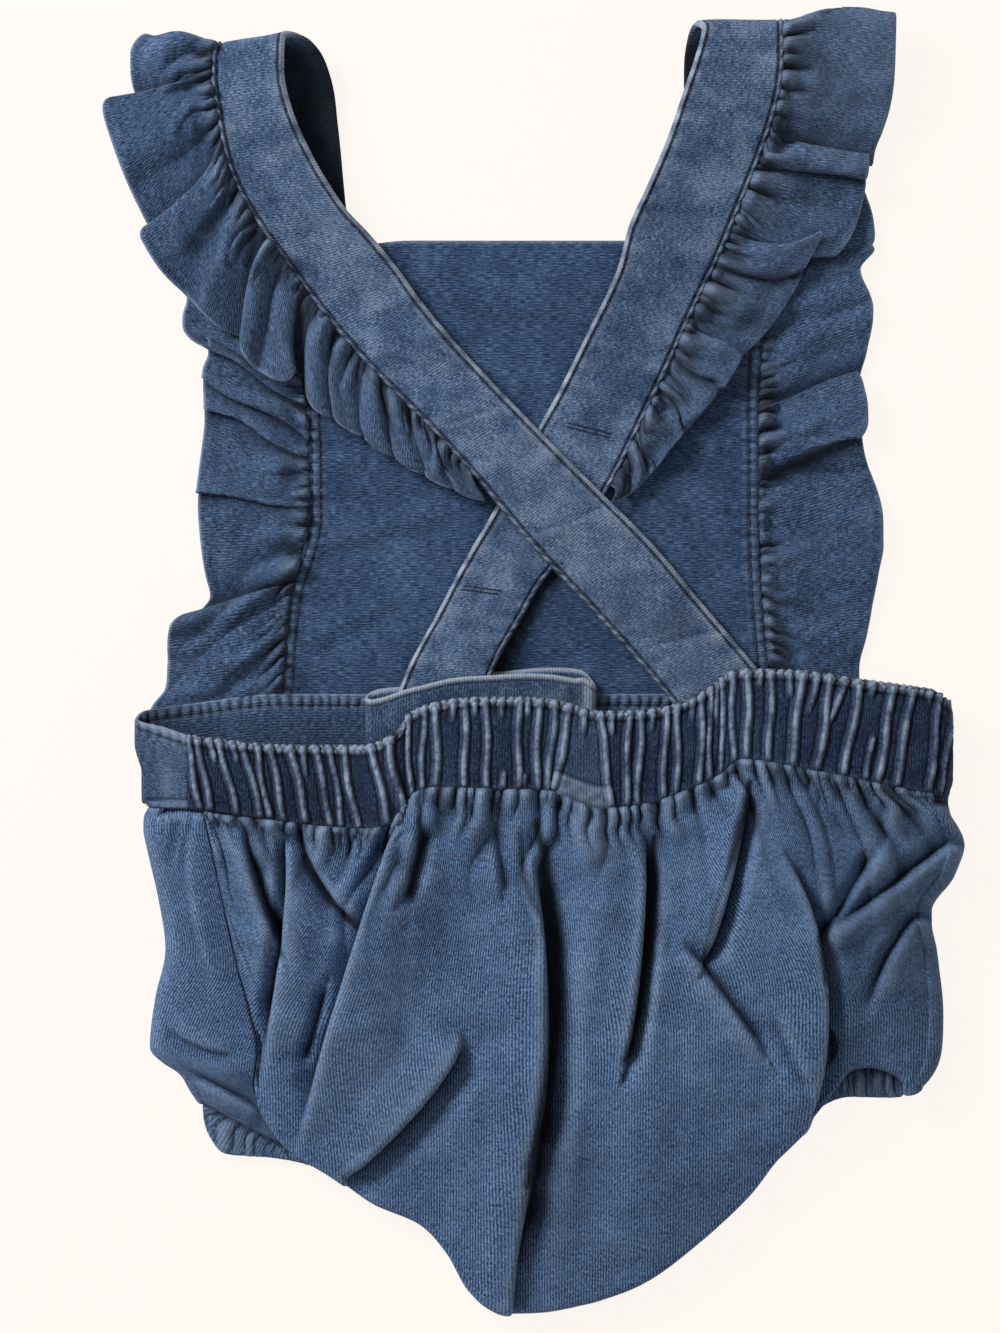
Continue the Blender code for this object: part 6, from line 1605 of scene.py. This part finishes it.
class RomperStage(bpy.types.Operator):
    """Set the pale floor, the soft studio light and the camera straight above"""
    bl_idname = "romper.stage"
    bl_label = "Stage"

    def execute(self, context):
        colours = context.scene.romper_colours
        mesh = bpy.data.meshes.new("floor")
        mesh.from_pydata([(x * FLOOR_HALF, y * FLOOR_HALF, FLOOR_Z)
                          for x, y in ((-1, -1), (1, -1), (1, 1), (-1, 1))], [], [(0, 1, 2, 3)])
        floor = linked(bpy.data.objects.new("floor", mesh))
        # Painted board: evenly pale, with no gloss, and lit a little from within.
        material, _, shader = blank("Matt painted board, cream white")
        give(shader, Base_Color=(*(FLOOR_GREY * part for part in colours.floor), 1), Roughness=1.0,
             Specular_IOR_Level=0.0, Emission_Color=(*colours.floor, 1),
             Emission_Strength=colours.glow)
        mesh.materials.append(material)
        # Light: a window-sized key from the upper left, a weak fill from the lower right.
        for name, place, size, power in (("key", (-0.88, 0.70, 0.72), 0.5, 17.0),
                                         ("fill", (0.9, -0.5, 1.1), 1.2, 2.0)):
            light = bpy.data.lights.new(name, "AREA")
            light.size, light.energy = size, power
            lamp = linked(bpy.data.objects.new(name, light))
            lamp.location = place
            lamp.rotation_euler = (-Vector(place)).to_track_quat("-Z", "Y").to_euler()
        # Room: dim as a light, pale where the camera looks past the floor.
        world = bpy.data.worlds.new("soft room")
        world.use_nodes = True
        background = world.node_tree.nodes["Background"]
        background.inputs["Color"].default_value = (*linear("#fffaf5"), 1)
        path = add(world.node_tree, "ShaderNodeLightPath")
        strength = add(world.node_tree, "ShaderNodeMapRange", {
            "Value": path.outputs["Is Camera Ray"], "To Min": ROOM_LIGHT, "To Max": ROOM_SEEN})
        world.node_tree.links.new(strength.outputs["Result"], background.inputs["Strength"])
        context.scene.world = world
        # Camera: straight above, with a long lens.
        camera = bpy.data.cameras.new("camera")
        camera.lens, camera.sensor_width = LENS, SENSOR
        seen = linked(bpy.data.objects.new("camera", camera))
        seen.location = (VIEW_CENTRE[0] * MM, VIEW_CENTRE[1] * MM,
                         (LONG_SIDE * LENS / SENSOR + VIEW_HEIGHT) * MM)
        context.scene.camera = seen
        context.scene.view_settings.view_transform = "Standard"
        return {"FINISHED"}


class RomperPanel(bpy.types.Panel):
    """Sizes and steps of the romper"""
    bl_idname = "VIEW3D_PT_romper"
    bl_label = "Baby romper"
    bl_space_type = "VIEW_3D"
    bl_region_type = "UI"
    bl_category = "Romper"

    def draw(self, context):
        layout = self.layout
        for group in (context.scene.romper_sizes, context.scene.romper_colours):
            for key in group.bl_rna.properties.keys():
                if key not in {"rna_type", "name"}:
                    layout.prop(group, key)
        for step in STEPS:
            layout.operator(step.bl_idname)


STEPS = (RomperBib, RomperWaistbands, RomperPanels, RomperStraps, RomperKeeper, RomperRuffles,
         RomperBindings, RomperStage)
CLASSES = (RomperSizes, RomperColours, *STEPS, RomperPanel)


def register():
    """Register the classes and the scene's settings."""
    for item in CLASSES:
        bpy.utils.register_class(item)
    bpy.types.Scene.romper_sizes = PointerProperty(type=RomperSizes)
    bpy.types.Scene.romper_colours = PointerProperty(type=RomperColours)


def unregister():
    """Undo register."""
    del bpy.types.Scene.romper_sizes
    del bpy.types.Scene.romper_colours
    for item in reversed(CLASSES):
        bpy.utils.unregister_class(item)


def main():
    """Build every piece and the stage."""
    register()
    for step in STEPS:
        operator = getattr(bpy.ops.romper, step.bl_idname.split(".")[1])
        operator()


if __name__ == "__main__":
    main()
